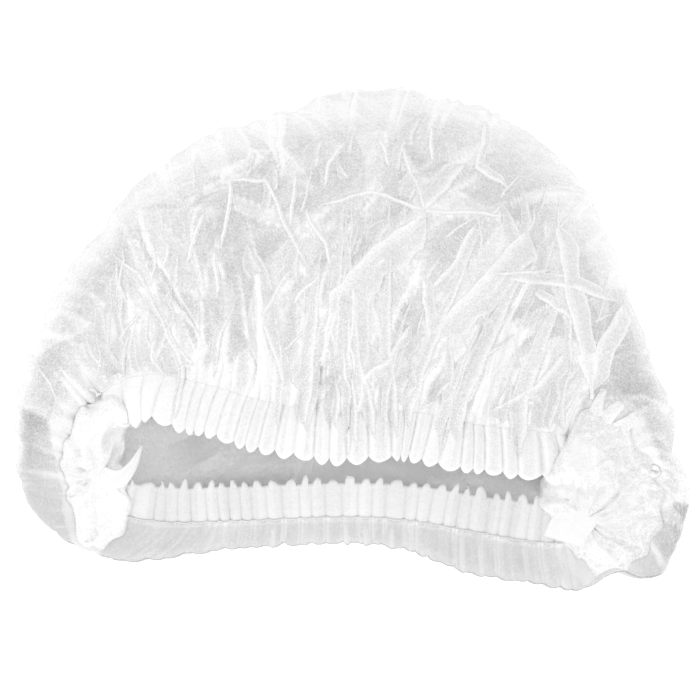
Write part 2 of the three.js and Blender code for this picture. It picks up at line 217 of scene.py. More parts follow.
def seam_frame(place):
    """At shares of the seam's length: spot, origin, along, inward to the hem's free edge, outward, upper."""
    spot = np.interp(place % 1, run, np.arange(SPANS + 1))
    origin = along_curve(seam_points, spot)
    along = unit(along_curve(seam_points, spot + 1.5) - along_curve(seam_points, spot - 1.5))
    stations = spot * len(STATIONS) / SPANS
    upper = np.interp(stations, np.arange(len(STATIONS) + 1), np.append(STATIONS[:, 6], STATIONS[0, 6]))
    aim = origin.copy()
    aim[:, 0] = np.clip(origin[:, 0], MOUTH_LEFT * SCALE[0], MOUTH_RIGHT * SCALE[0])
    aim[:, 1] = (LOWER_AIM[0] + (UPPER_AIM[0] - LOWER_AIM[0]) * upper) * SCALE[1] + TO_FRAME[1]
    aim[:, 2] = (LOWER_AIM[1] + (UPPER_AIM[1] - LOWER_AIM[1]) * upper) * SCALE[2]
    inward = aim - origin
    inward = unit(inward - along * (inward * along).sum(1, keepdims=True))
    return spot, origin, along, inward, np.cross(along, inward), upper


# %% [markdown]
# ## Gathers
#
# An elastic draws the cloth up into small round tubes with a sharp valley between them, and no two are alike.
# One function gives that wave for the hems and for the crown, so that each tube runs on from one to the other.

# %% One wave for all gathers
GATHERS = 84
random = np.random.default_rng(7)


def wander(place, knots, seed):
    """A smooth closed random line between -1 and 1, with so many knots round the mouth."""
    values = np.random.default_rng(seed).uniform(-1, 1, knots)
    x = (place % 1) * knots
    low = np.floor(x).astype(int)
    mix = smooth(x - low)
    return values[low % knots] * (1 - mix) + values[(low + 1) % knots] * mix


def gather_phase(place):
    """The gathers' count along the seam: they are wider apart over the left end than along the lower lip."""
    p = place % 1
    wider = smooth((p - 0.36) / 0.16) - smooth((p - 0.56) / 0.4)
    return GATHERS * place - 2.5 * wider + 0.3 * wander(place, 60, 1) + 0.5 * wander(place, 23, 2)


def tubes(phase):
    """Round tubes with sharp valleys, from 0 in a valley to 1 on a tube."""
    return np.abs(np.sin(math.pi * phase)) ** 0.75


def seam_rib(place):
    """How far the gathered cloth stands out at the seam, in millimetres: less along the lower lip."""
    full = 0.35 + 0.65 * smooth(seam_frame(place)[5] * 1.6)
    return (tubes(gather_phase(place)) - 0.6) * 2.5 * (1 + 0.3 * wander(place, 50, 3)) * full


def ridges(phase):
    """Sharp ridges with straight flanks, from -1 to 1."""
    return 1 - 4 * np.abs((phase % 1) - 0.5)


# %% [markdown]
# ## The crown's cloth
#
# The crown is one sheet, so it is made as one open grid: each column runs from the seam over the top to the
# side, under it, and along the floor to the middle. Folding is added in layers, as it happens in cloth: tubes
# at the elastic, which join into larger folds further up, and flat facets between sharp creases over the top.

# %% The crown's plain grid
COLUMNS = 756
TO_SIDE = np.concatenate([np.linspace(0, 0.2, 26, endpoint=False), np.linspace(0.2, 1, 78, endpoint=False)])
TO_REST = np.linspace(0, 1, 16, endpoint=False)
TO_MIDDLE = np.linspace(0, 1, 10)
REST_POINT = np.array([-0.02, 0.48, 0]) * SCALE + TO_FRAME
REST_INSET = 0.7
SEAM_GAP = 0.0003
UP = np.array([0, 0, 1.0])


def bezier(a, b, c, d, t):
    t = t[:, None, None]
    return a * (1 - t) ** 3 + 3 * b * t * (1 - t) ** 2 + 3 * c * t**2 * (1 - t) + d * t**3


places = np.arange(COLUMNS) / COLUMNS
spot, origin, along, inward, outward, upper = seam_frame(places)
start = origin - inward * SEAM_GAP / 2
side = along_curve(side_points, spot)
reach = np.linalg.norm(side - start, axis=1, keepdims=True)
lift = upper[:, None] * UP
to_middle = unit((REST_POINT - side) * [1, 1, 0])
inset = REST_INSET * side[:, 2:3]
landing = side * [1, 1, 0] + to_middle * inset
top_rows = bezier(start, start - 0.36 * reach * inward + lift * PUFF_AT_SEAM,
                  side + UP * 0.3 * reach + lift * PUFF_AT_SIDE, side, TO_SIDE)
under_rows = bezier(side, side - UP * 0.6 * side[:, 2:3], landing - 0.55 * inset * to_middle, landing, TO_REST)
floor_rows = landing + (REST_POINT - landing) * TO_MIDDLE[:-1, None, None]
plain = np.concatenate([top_rows, under_rows, floor_rows])
ROWS = len(plain)
way = np.concatenate([TO_SIDE, 1 + TO_REST, 2 + TO_MIDDLE[:-1]])[:, None] + np.zeros((1, COLUMNS))
depth = np.concatenate([np.zeros((1, COLUMNS)), np.cumsum(np.linalg.norm(np.diff(plain, axis=0), axis=2), axis=0)])


def grid_normals(points):
    around = np.roll(points, -1, axis=1) - np.roll(points, 1, axis=1)
    down = np.gradient(points, axis=0)
    return unit(np.cross(down, around))


normals = grid_normals(plain)
normals *= np.sign((normals[20, 200] * UP).sum())
print("crown grid:", ROWS, "rows of", COLUMNS)

# %% [markdown]
# The facets between creases come from a net of scattered points at random heights, joined by straight lines.
# The largest creases are the ones the real cap shows, so they are drawn as lines on the cap as the
# camera sees it: across from the middle, and up from the lowest tip, in millimetres.

# %% The crease net
PICTURE_MIDDLE = 89.4 * MM


def seen(points):
    """Where points lie as the camera sees them: across, and up from the lowest tip, in millimetres."""
    off = points - np.array(camera.location)
    scale = distance / -(off @ np.array(TO_CAMERA))
    up = (off @ np.array(IMAGE_UP)) * scale + PICTURE_MIDDLE
    return np.stack([off[..., 0] * scale, up], axis=-1) / MM


CREASES = [
    # height, band of doubled cloth beside it, then the line's points
    (2.6, 0, [(28, 141), (19, 165)]),
    (2.2, 0, [(28, 141), (58, 139)]),
    (2.4, 4, [(28, 141), (43, 158)]),
    (1.6, 0, [(28, 141), (8, 148), (-11, 143)]),
    (4.2, 9, [(28, 141), (9, 127), (-7, 110), (-9, 90), (-14, 66)]),
    (3.4, 8, [(65, 134), (50, 117), (38, 104), (29, 94)]),
    (3.0, 5, [(54, 115), (45, 91), (36, 83), (27, 76)]),
    (3.4, 5, [(76, 136), (79, 119), (81, 106), (85, 90), (89, 74)]),
    (3.0, 5, [(101, 106), (92, 92), (89, 74)]),
    (1.6, 0, [(53, 117), (75, 119)]),
    (1.6, 3, [(58, 116), (84, 112), (99, 107)]),
    (1.8, 2, [(68, 111), (82, 101)]),
    (3.8, 7, [(-82, 134), (-75, 113), (-65, 100), (-61, 85), (-50, 72)]),
    (1.8, 0, [(-44, 152), (-46, 134), (-48, 127)]),
    (2.0, 0, [(-44, 152), (-31, 152), (-24, 136), (-15, 119)]),
    (1.8, 0, [(-2, 166), (-8, 159), (-9, 149)]),
    (1.4, 0, [(-20, 154), (-22, 135)]),
    (1.8, 0, [(-17, 141), (-9, 129), (-7, 119)]),
    (1.8, 0, [(-54, 140), (-59, 126), (-61, 121)]),
    (1.8, 2, [(-62, 116), (-54, 106), (-50, 91), (-37, 85)]),
    (2.4, 4, [(-35, 117), (-36, 99), (-31, 91), (-33, 73)]),
    (1.8, 0, [(-22, 119), (-33, 101)]),
    (1.4, 0, [(-11, 117), (-19, 110), (-21, 106)]),
    (2.4, 3, [(46, 136), (39, 122), (29, 111)]),
    (1.8, 3, [(27, 116), (28, 99), (30, 92)]),
    (2.6, 3, [(22, 99), (14, 86), (5, 79), (2, 60)]),
    (2.2, 5, [(2, 112), (0, 92), (2, 79)]),
    (2.6, 4, [(70, 101), (52, 84), (41, 62)]),
    (2.2, 4, [(79, 89), (69, 76), (52, 67)]),
    (2.4, 4, [(-113, 96), (-95, 90), (-82, 89), (-74, 77)]),
    (1.6, 0, [(-67, 129), (-69, 119)]),
    (1.6, 0, [(-50, 126), (-49, 109)]),
    (1.8, 2, [(50, 174), (47, 157), (59, 149)]),
    (1.4, 0, [(30, 172), (30, 159)]),
    (1.4, 0, [(11, 167), (15, 157)]),
    (2.6, 4, [(-14, 91), (-22, 76), (-20, 62)]),
    (2.2, 3, [(-32, 99), (-24, 76)]),
    (2.0, 2, [(71, 66), (90, 68), (108, 58)]),
    (2.0, 0, [(-72, 94), (-73, 86), (-67, 79)]),
]
CREASE_REACH = 7.5

flat_place = seen(plain)


def crease_net(low, high, count, seed):
    """Scattered points at random heights, joined by flat facets: a tree to look them up, and a shade for each."""
    rng = np.random.default_rng(seed)
    spread = rng.uniform(low, high, (count, 2))
    net_height = rng.uniform(-1, 1, count)
    net = delaunay_2d_cdt([Vector(p) for p in spread], [], [], 0, 1e-6)
    net_points = [Vector((p.x, p.y, net_height[net[3][i][0]])) for i, p in enumerate(net[0])]
    return BVHTree.FromPolygons(net_points, net[2]), rng.uniform(0, 1, len(net[2]))


def net_lift(net, spots):
    """The height of a crease net at each spot, and the shade of the facet there."""
    tree, shades = net
    down = Vector((0, 0, -1))
    hits = [tree.ray_cast(Vector((x, y, 50)), down) for x, y in spots.reshape(-1, 2)]
    height = np.array([hit[0].z if hit[0] else 0 for hit in hits])
    shade = np.array([shades[hit[2]] if hit[0] else 0 for hit in hits])
    return height.reshape(spots.shape[:-1]), shade.reshape(spots.shape[:-1])


def crease_lift(spots):
    """Height of the drawn creases at each spot: each is a ridge that falls away to both sides."""
    height = np.zeros(spots.shape[:-1])
    for size, _, points in CREASES:
        nearest = np.full(height.shape, 1e9)
        share = np.zeros_like(height)
        for k, (a, b) in enumerate(zip(points, points[1:])):
            a, b = np.array(a, float), np.array(b, float)
            t = np.clip(((spots - a) @ (b - a)) / ((b - a) @ (b - a)), 0, 1)
            far = np.linalg.norm(spots - a - t[..., None] * (b - a), axis=-1)
            share = np.where(far < nearest, (k + t) / (len(points) - 1), share)
            nearest = np.minimum(nearest, far)
        taper = np.sin(math.pi * np.clip(share * 0.8 + 0.2, 0, 1)) ** 0.5
        height += size * taper * np.clip(1 - nearest / CREASE_REACH, 0, 1)
    return height


# %% The crown's folds
dist = depth / MM
top = np.clip((1.0 - way) / 0.12, 0, 1) * (way < 1)
phase = gather_phase(places)[None, :] + 0 * way
lower = 1 - smooth(upper * 1.6)[None, :]

reach_of_gathers = 15 + 7 * wander(places, 64, 14)[None, :] + 22 * lower
near = np.exp(-((dist / reach_of_gathers) ** 1.3)) * (way < 1.7)
rib = seam_rib(places)[None, :] * near

lean = (1 - lower) * wander(places, 9, 4)[None, :] * dist / 60
mid = ridges(GATHERS / 2 * places[None, :] + 0.45 * wander(places, 31, 5)[None, :] + lean)
mid = mid * 2.4 * (1 + 0.7 * wander(places, 42, 6)[None, :]) * smooth(dist / 8)
mid = mid * np.exp(-dist / 32) * (1 - 0.7 * lower)
large = ridges(GATHERS / 4 * places[None, :] + 0.5 * wander(places, 17, 8)[None, :] + lean * 0.7)
large = large * 2.6 * (1 + 0.7 * wander(places, 21, 9)[None, :]) * smooth((dist - 6) / 18)
large = large * np.exp(-((dist / 58) ** 2)) * (1 - lower)

rim = (tubes(GATHERS * 0.62 * places[None, :] + 0.8 * wander(places, 80, 10)[None, :]) - 0.6) * 1.9
rim = rim * (0.8 + 0.5 * wander(places, 37, 11)[None, :]) * smooth((way - 0.5) / 0.4)
rim = rim * (1 - smooth((way - 1.2) / 0.4)) * (1 - 0.55 * lower)

crease_height = crease_lift(flat_place)
over = smooth(upper * 1.5)[None, :] * (way < 1) * smooth(dist / 14)
sway_ = 9 * np.sin(dist / 17 + 5 * wander(places, 7, 71)[None, :])
cloth_place = np.stack([places[None, :] * SEAM_LENGTH / MM + sway_, dist * 0.5], axis=-1)
big_net = crease_net([-30, -10], [SEAM_LENGTH / MM + 30, 90], 420, 7)
small_net = crease_net([-30, -10], [SEAM_LENGTH / MM + 30, 90], 1500, 8)
big_lift, big_shade = net_lift(big_net, cloth_place)
small_lift, small_shade = net_lift(small_net, cloth_place)
facets = (big_lift * 2.2 + small_lift * 0.8) * over * (0.3 + 0.7 * top)
crease_height = crease_height * 0.7 * over * top

low_lift, low_shade = net_lift(crease_net([-130, -5], [130, 185], 150, 9), flat_place)
low_folds = (1 + low_lift) * 0.8 * smooth((way - 1.5) / 0.4)

lift_mm = rib + mid + large + rim + facets + crease_height
cloth = plain + normals * (lift_mm * MM)[..., None]
cloth[..., 2] += low_folds * MM
cloth[0] = start + outward * ((rib[0]) * MM)[:, None]
cloth[..., 2] = np.maximum(cloth[..., 2], 0.0003)
print("folds stand from", round(lift_mm.min(), 1), "to", round(lift_mm.max(), 1), "mm")

# %% [markdown]
# Thin cloth looks whitest along a fold, where it is seen through more of itself. So the sharpness of each fold
# is measured on the finished grid and kept with the cloth as an attribute, for the material to read.


# %% Where the strip ends
TAB_WIDTH, TAIL_WIDTH, END_CLEARANCE = 0.012, 0.008, 0.0005


def distance_to_end(place):
    """How far along the seam the hem runs on before it stops at the nearer end of the strip."""
    p = place % 1
    right = np.minimum(p, 1 - p)
    left = np.abs(p - LEFT_END)
    half = np.where(right < left, TAB_WIDTH, TAIL_WIDTH) / 2 + END_CLEARANCE
    return np.minimum(right, left) * SEAM_LENGTH - half


# %% How folded each point is
def folded(points):
    """How sharply the grid turns at each point: a ridge counts in full, and a valley a third."""
    n = grid_normals(points)
    n *= np.sign((n[20, 200] * UP).sum())
    turn = np.zeros(points.shape[:2])
    beside = (np.roll(points, 1, axis=1) + np.roll(points, -1, axis=1)) / 2
    bend = 2 - (n * np.roll(n, 1, axis=1)).sum(2) - (n * np.roll(n, -1, axis=1)).sum(2)
    turn += bend * np.where(((points - beside) * n).sum(2) > 0, 1, 0.3)
    beside = (points[:-2] + points[2:]) / 2
    bend = 2 - (n[1:-1] * n[:-2]).sum(2) - (n[1:-1] * n[2:]).sum(2)
    turn[1:-1] += bend * np.where(((points[1:-1] - beside) * n[1:-1]).sum(2) > 0, 1, 0.3)
    return np.clip(turn * 7, 0, 1)


def for_each_gather(phase, seed):
    """A chance value from 0 to 1 for each gather, the same all over that gather."""
    return np.random.default_rng(seed).uniform(0, 1, 200)[np.floor(phase).astype(int) % 200]


fold = np.clip(folded(cloth) * 0.8 * (1 - 0.85 * smooth((way - 0.75) / 0.2)), 0, 1)
each_gather = for_each_gather(phase + 0.5, 35)
flank = np.exp(-(((tubes(phase) - 0.55) / 0.3) ** 2))
gathered = np.exp(-((dist / (6 + 26 * each_gather)) ** 1.5)) * (0.45 + 0.55 * flank)
gathered = gathered * (1 - 0.75 * lower) * (way < 1.6)
bunched = np.exp(-np.maximum(distance_to_end(places), 0) / (12 * MM))[None, :]
bunched = bunched * np.exp(-((dist / 16) ** 2)) * (way < 1.6)


def inside(spots, corners, blur):
    """1 inside a polygon on the cap as the camera sees it and 0 outside, with a soft edge of so many millimetres."""
    corners = np.array(corners, float)
    x, y = spots[..., 0], spots[..., 1]
    within = np.zeros(x.shape, bool)
    edge = np.full(x.shape, 1e9)
    for (ax, ay), (bx, by) in zip(corners, np.roll(corners, -1, axis=0)):
        crosses = (ay > y) != (by > y)
        within ^= crosses & (x < (bx - ax) * (y - ay) / ((by - ay) or 1e-9) + ax)
        t = np.clip(((x - ax) * (bx - ax) + (y - ay) * (by - ay)) / ((bx - ax) ** 2 + (by - ay) ** 2), 0, 1)
        edge = np.minimum(edge, np.hypot(x - ax - t * (bx - ax), y - ay - t * (by - ay)))
    return smooth(0.5 + np.where(within, edge, -edge) / (2 * blur))


# Outlines drawn on the cap as the camera sees it, in millimetres across and up the picture.
BUNCHED = [
    [(-106, 60), (-99, 68), (-90, 74), (-74, 76), (-80, 62), (-94, 56), (-94, 35), (-93, 12), (-101, 14), (-106, 30)],
    [(66, 56), (92, 60), (103, 60), (111, 44), (110, 30), (102, 14), (87, 3), (76, 14), (84, 34), (88, 45)],
]
# Areas where the cloth lies single and covers less; where it also lies under the crown it is painted greyer, as
# painted shade.
SINGLE_AND_SHADE_SHARES = (0.9, 0.4, 1.0)
SINGLE_AND_SHADE = [
    [(-128, 71), (-112, 64), (-108, 42), (-104, 18), (-92, 10), (-98, -4), (-135, 20)],
    [(97, 112), (93, 90), (98, 76), (108, 66), (112, 56), (117, 44), (121, 38), (140, 60), (140, 112)],
    [(112, 28), (120, 33), (140, 30), (140, -5), (100, -5), (104, 10)],
]
MOUTH = [(-95, 62), (-82, 67), (-60, 66), (-35, 57), (-22, 52), (0, 51), (40, 46), (72, 38), (74, 30), (40, 36),
         (0, 42), (-30, 42), (-60, 39), (-86, 38)]
BANDS = [
    # flat folds of the crown, in which the cloth lies double
    [(-82, 130), (-79, 130), (-72, 113), (-64, 105), (-56, 86), (-55, 78), (-61, 80), (-64, 90), (-70, 104),
     (-78, 112)],
    [(-34, 118), (-32, 100), (-30, 84), (-22, 76), (-22, 60), (-34, 60), (-34, 84), (-39, 96)],
    [(-5, 111), (4, 118), (13, 130), (24, 142), (27, 139), (15, 126), (6, 115), (-5, 108)],
    [(-13, 104), (-6, 109), (-5, 97), (-9, 85), (-13, 94)],
    [(-22, 76), (-10, 90), (-7, 94), (-5, 95), (-14, 79), (-21, 71)],
    [(1, 91), (6, 107), (15, 116), (26, 123), (25, 112), (18, 104), (8, 93), (4, 76), (-3, 71), (-2, 85)],
    [(-49, 80), (-38, 90), (-35, 83), (-40, 71), (-51, 68)],
    [(30, 100), (43, 119), (56, 136), (63, 137), (56, 113), (40, 86), (22, 74), (20, 78)],
    [(72, 136), (77, 132), (84, 104), (81, 97), (75, 112)],
    [(16, 164), (20, 164), (31, 142), (28, 140)],
    [(32, 151), (55, 141), (56, 138), (31, 139)],
    [(11, 97), (15, 101), (20, 89), (18, 71), (12, 72)],
    [(44, 89), (63, 101), (78, 108), (80, 105), (64, 93), (50, 77), (41, 70)],
    [(63, 86), (76, 94), (86, 91), (89, 85), (76, 84), (66, 74)],
    [(-94, 108), (-82, 104), (-74, 89), (-76, 75), (-83, 89), (-93, 99)],
    [(-44, 147), (-33, 143), (-19, 138), (-19, 133), (-33, 137), (-42, 141)],
    [(112, 36), (118, 35), (124, 23), (112, 29)],
]
cloth_spots = seen(cloth)
bunched = np.maximum(bunched, sum(inside(cloth_spots, area, 1.5) for area in BUNCHED)) * (way < 1.5)
# The single mark covers the areas above, the crown's cloth beside the lower hem, and the rim where the cloth turns
# under. It thins the cloth, and where the cloth lies under the crown it paints shade: the rim and the lower lip are
# painted greyer.
single = sum(share * inside(cloth_spots, area, 1.2) for share, area in zip(SINGLE_AND_SHADE_SHARES, SINGLE_AND_SHADE))
single = np.clip(single + 0.9 * lower * smooth(dist / 3), 0, 1) * (way < 1.4)
gap = inside(cloth_spots, MOUTH, 4) * (way > 1.3)
past_rim = 0.6 * smooth((way - 1.0) / 0.3) * (1 - smooth((way - 1.25) / 0.3))
single = np.maximum(single, past_rim * (1 - gap))
mosaic = (0.5 * big_shade**2 + 0.35 * small_shade**2) * over * smooth((dist - 3) / 10)
band = sum(inside(cloth_spots, corners, 0.5) for corners in BANDS).clip(0, 1) * smooth((0.98 - way) / 0.05)
fold = np.maximum(fold, 2.6 * band * (1 - band))
# The mouth's inside is painted lighter towards its middle, because too little light gets past the two lips.
mouth_middle = np.exp(-(((cloth_spots[..., 0] - 5) / 32) ** 2))
doubled = 0.38 * band * smooth(dist / 12)
doubled = doubled + 0.6 * smooth((way - 0.5) / 0.25) * (way < 0.98) * (1 - single)
doubled = doubled + gathered * (1 - 0.8 * single) + bunched * 1.3 + mosaic * (1 - single)
doubled = doubled + 0.8 * low_shade**2 * smooth((way - 1.5) / 0.3) + gap * mouth_middle
doubled = np.clip(doubled, 0, 1)
# The under mark: cloth lying under the crown from the rim on, and the crown's cloth beside the lower hem. The
# material makes it opaque and paints it grey as painted shade; in the mouth the mark is weaker, so that more of the
# bright floor shows through.
inner = smooth((way - 0.93) / 0.4) * (1 - gap * (0.5 + 0.3 * mouth_middle))
inner = np.maximum(inner, 0.8 * lower * smooth(dist / 2) * (way < 1))


def set_mark(mesh, mark, values):
    """Keeps a number for each vertex with the mesh, for the material to read."""
    mesh.attributes.new(mark, "FLOAT", "POINT").data.foreach_set("value", values.reshape(-1).astype(np.float32))


def sheet_mesh(name, points, middle=None, **marks):
    """A mesh of a grid that closes round, with a face to each cell and an attribute for each mark."""
    rows, columns = points.shape[:2]
    verts = points.reshape(-1, 3)
    index = np.arange(rows * columns).reshape(rows, columns)
    a, b = index[:-1], np.roll(index[:-1], -1, axis=1)
    c, d = np.roll(index[1:], -1, axis=1), index[1:]
    faces = np.stack([a, b, c, d], axis=-1).reshape(-1, 4).tolist()
    if middle is not None:
        verts = np.vstack([verts, middle])
        last = index[-1]
        faces += [[int(p), int(q), rows * columns] for p, q in zip(last, np.roll(last, -1))]
    mesh = bpy.data.meshes.new(name)
    mesh.from_pydata(verts.tolist(), [], faces)
    for mark, values in marks.items():
        flat = values.reshape(-1)
        set_mark(mesh, mark, np.append(flat, flat[-1]) if middle is not None else flat)
    mesh.shade_smooth()
    return mesh


def area_of(mesh):
    return sum(p.area for p in mesh.polygons)


middle_point = REST_POINT + UP * 0.0003
crown_mesh = sheet_mesh("crown_cloth", cloth, middle_point, fold=fold, doubled=doubled, single=single, under=inner)
if crown_mesh.polygons[30 * COLUMNS + 200].normal.z < 0:
    crown_mesh.flip_normals()
crown = add_object("crown_cloth", crown_mesh)
print("crown cloth:", len(crown_mesh.polygons), "faces,", round(area_of(crown_mesh), 4), "square metres")

# %% [markdown]
# ## The hems
#
# Each hem is the cloth's edge folded back over an elastic and welded down. Drawn up, it stands as a row of
# round-ended tubes. It is made as a closed loop of cloth, swept along the seam in the same wave as the crown.

# %% Hem and ends, sizes
HEM_WIDTH, HEM_WIDTH_AT_ENDS, HEM_TAPER = 0.017, 0.010, 0.030
LAP = 0.4 * MM


def hem_mesh(name, first, last, teeth, fullness, valley_shade_weight):
    """A gathered hem between two shares of the seam's length: how far its teeth stand out, how full its tubes are."""
    is_upper = fullness > 0.6
    spots = np.linspace(first, last, int((last - first) * COLUMNS * 2.6))
    _, base, along_, inward_, outward_, upper_ = seam_frame(spots)
    full = smooth(distance_to_end(spots) / HEM_TAPER)
    width = HEM_WIDTH_AT_ENDS + (HEM_WIDTH - HEM_WIDTH_AT_ENDS) * full
    tube = tubes(gather_phase(spots))
    each = 1 + 0.25 * wander(spots, 84, 12)
    tooth = tube if is_upper else np.sqrt(np.clip((tube - 0.7) / 0.3, 0, 1))
    some = 1 if is_upper else 0.45 + 0.9 * for_each_gather(gather_phase(spots), 34)
    edge = width + teeth * (tooth * some - 0.4) * each * MM
    sway = (1.5 if is_upper else 0.5) * wander(spots, 44, 13) * MM
    if is_upper:
        edge = edge + 0.9 * wander(spots, 34, 15) * full * MM
        sway = sway - 3.0 * smooth((0.2 - spots) / 0.1) * MM
    hook = 0 * tube if is_upper else 0.5 * tooth * some * np.sign(wander(spots, 60, 14)) * MM
    across = np.concatenate([np.linspace(0, 0.9, 12), [0.95, 0.985, 1.0]])
    root = 0.0 if is_upper else 0.25
    swell = root + (1 - root) * smooth(across / 0.3)
    swell = swell * (0.55 + 0.45 * np.sin(math.pi * np.clip(across * 0.94 + 0.02, 0, 1)) ** 0.6)
    swell[-3:] = [0.8, 0.5, 0.12]
    rib_root = seam_rib(spots) * MM
    rings = []
    for share, fat in zip(across, swell):
        stand = (0.85 + 1.2 * tube * each * fullness) * fat * MM
        lean_ = rib_root * (1 - share) ** 1.5 - LAP * 0.6 * (1 - share) ** 4
        rings.append((share, stand, lean_))

    def side(facing):
        return [base + inward_ * (edge * share - LAP * (1 - share))[:, None]
                + outward_ * (lean_ + facing * stand)[:, None]
                + along_ * (sway * share + hook * smooth((share - 0.88) / 0.12))[:, None]
                for share, stand, lean_ in rings]

    loop = np.array(side(1) + side(-1)[::-1]).transpose(1, 0, 2)
    n, m = loop.shape[:2]
    index = np.arange(n * m).reshape(n, m)
    a, b = index[:-1], np.roll(index[:-1], -1, axis=1)
    c, d = np.roll(index[1:], -1, axis=1), index[1:]
    faces = np.stack([a, b, c, d], axis=-1).reshape(-1, 4).tolist()
    faces += [index[0][::-1].tolist(), index[-1].tolist()]
    mesh = bpy.data.meshes.new(name)
    mesh.from_pydata(loop.reshape(-1, 3).tolist(), [], faces)
    left = smooth((spots - 0.33) / 0.1) * (spots < LEFT_END)
    panel = for_each_gather(gather_phase(spots) + 0.5, 33)
    flank = np.exp(-(((tube - 0.55) / 0.28) ** 2))
    round_ = np.concatenate([across, across[::-1]])
    # The valley mark is painted shade in the valleys between the tubes; on the lower hem it also greys the whole hem,
    # more on some gathers.
    valley_shade_and_grey = valley_shade_weight * (1 - tube) ** 3
    if is_upper:
        solid = np.maximum(np.maximum(left, flank), 1.4 * panel - 0.5)
        valley_shade_and_grey = valley_shade_and_grey[:, None] * smooth(round_ / 0.45)[None, :]
    else:
        solid = 0.45 + 0.4 * panel
        valley_shade_and_grey = np.repeat((valley_shade_and_grey + (0.24 + 0.14 * (1 - panel)))[:, None], m, axis=1)
    set_mark(mesh, "fold", np.maximum(solid[:, None], smooth((round_ - 0.86) / 0.1)[None, :]))
    set_mark(mesh, "valley_shade_and_grey", valley_shade_and_grey)
    mesh.shade_smooth()
    return mesh


def outward_check(mesh):
    """Recalculates a closed mesh's normals so that they point outwards."""
    obj = add_object(mesh.name, mesh)
    bpy.ops.object.select_all(action="DESELECT")
    obj.select_set(True)
    bpy.context.view_layer.objects.active = obj
    bpy.ops.object.mode_set(mode="EDIT")
    bpy.ops.mesh.select_all(action="SELECT")
    bpy.ops.mesh.normals_make_consistent(inside=False)
    bpy.ops.object.mode_set(mode="OBJECT")
    return obj


right_gap = (TAB_WIDTH / 2 + END_CLEARANCE) / SEAM_LENGTH
left_gap = (TAIL_WIDTH / 2 + END_CLEARANCE) / SEAM_LENGTH
upper_hem = outward_check(hem_mesh("upper_hem_cloth", right_gap, LEFT_END - left_gap, 2.6, 1.0, 0.32))
lower_hem = outward_check(hem_mesh("lower_hem_cloth", LEFT_END + left_gap, 1 - right_gap, 3.0, 0.3, 0.3))
for hem in (upper_hem, lower_hem):
    print(hem.name, len(hem.data.polygons), "faces")

# %% [markdown]
# ## Pleats pressed over the crown
#
# Where the cloth has been crushed, it lies in small sharp pleats: narrow tents of doubled cloth with one steep
# flank. The drawn creases carry one each, and shorter ones are scattered over the crown, most of them running
# up from the elastic. Each pleat is laid on the crown as the camera sees it, so that it follows the cloth below.

# %% Laying lines on the crown
crown_tree = BVHTree.FromPolygons([v.co for v in crown_mesh.vertices], [p.vertices for p in crown_mesh.polygons])
cover_points = [crown_mesh.vertices, upper_hem.data.vertices, lower_hem.data.vertices]
cover_faces, offset = [], 0
for mesh in (crown_mesh, upper_hem.data, lower_hem.data):
    cover_faces += [[v + offset for v in p.vertices] for p in mesh.polygons]
    offset += len(mesh.vertices)
cover_tree = BVHTree.FromPolygons([v.co for vertices in cover_points for v in vertices], cover_faces)


def laid(spots, tree=None):
    """Points and normals on the crown's cloth at spots given as the camera sees them, and how many missed it."""
    found, facing, missed = [], [], 0
    eye = camera.location
    for x, y in spots.reshape(-1, 2) * MM:
        aim_at = AIM + Vector((x, 0, 0)) + IMAGE_UP * (y - PICTURE_MIDDLE)
        point, normal, _, _ = (tree or crown_tree).ray_cast(eye, aim_at - eye)
        if point is None or abs(normal.dot(TO_CAMERA)) < 0.3:
            missed += 1
            point, normal, _, _ = crown_tree.find_nearest(aim_at)
        found.append(point)
        facing.append(normal if normal.dot(TO_CAMERA) > 0 else -normal)
    return np.array(found).reshape(*spots.shape[:-1], 3), np.array(facing).reshape(*spots.shape[:-1], 3), missed


def eased(values, times):
    values = values.copy()
    for _ in range(times):
        values[1:-1] = (values[:-2] + 2 * values[1:-1] + values[2:]) / 4
    return values


# %% One pleat
def pleat(points, width, height, rng, tree=None, fade=0.55):
    """A tent along a line: vertex rows, and how sharply each of its columns is folded."""
    points = np.array(points, float)
    cum = np.concatenate([[0], np.cumsum(np.linalg.norm(np.diff(points, axis=0), axis=1))])
    length = cum[-1]
    s = np.linspace(0, length, max(7, int(length / 0.9)))
    line = np.stack([np.interp(s, cum, points[:, 0]), np.interp(s, cum, points[:, 1])], axis=1)
    heading = unit(eased(np.gradient(line, axis=0), 6))
    left = np.stack([-heading[:, 1], heading[:, 0]], axis=1)
    bends = 3 + int(length / 5)
    line = line + left * np.interp(s, np.linspace(0, length, bends), rng.uniform(-0.5, 0.5, bends))[:, None]
    taper = np.clip(np.minimum(s / (0.1 * length), (length - s) / (fade * length)), 0, 1) ** 0.8
    swings = 2 + int(length / 6)
    wide = width * (1 + 0.15 * np.interp(s, np.linspace(0, length, swings), rng.uniform(-1, 1, swings)))
    places_ = [-0.7 + 0 * s, -0.2 + 0 * s, 0.0 * s, 0.2 + 0 * s, 0.25 + 0.35 * wide, 0.25 + 0.75 * wide, 0.25 + wide]
    lifts = [0.0, 0.8, 1.0, 0.9, 0.55, 0.3, 0.1]
    sharp = [0.0, 0.5, 0.8, 0.5, 0.0, 0.0, 0.45]
    beside = np.stack(places_, axis=1) * np.maximum(taper, 0.05)[:, None]
    spots = line[:, None, :] + left[:, None, :] * beside[..., None]
    base, facing, missed = laid(spots, tree)
    facing = unit(eased(facing, 3))
    if tree:
        base = eased(base, 5)
    rise = (np.array(lifts)[None, :] * (height * taper)[:, None] + 0.22) * MM
    return base + facing * rise[..., None], np.array(sharp)[None, :] * np.clip(taper * 1.5, 0, 1)[:, None], missed


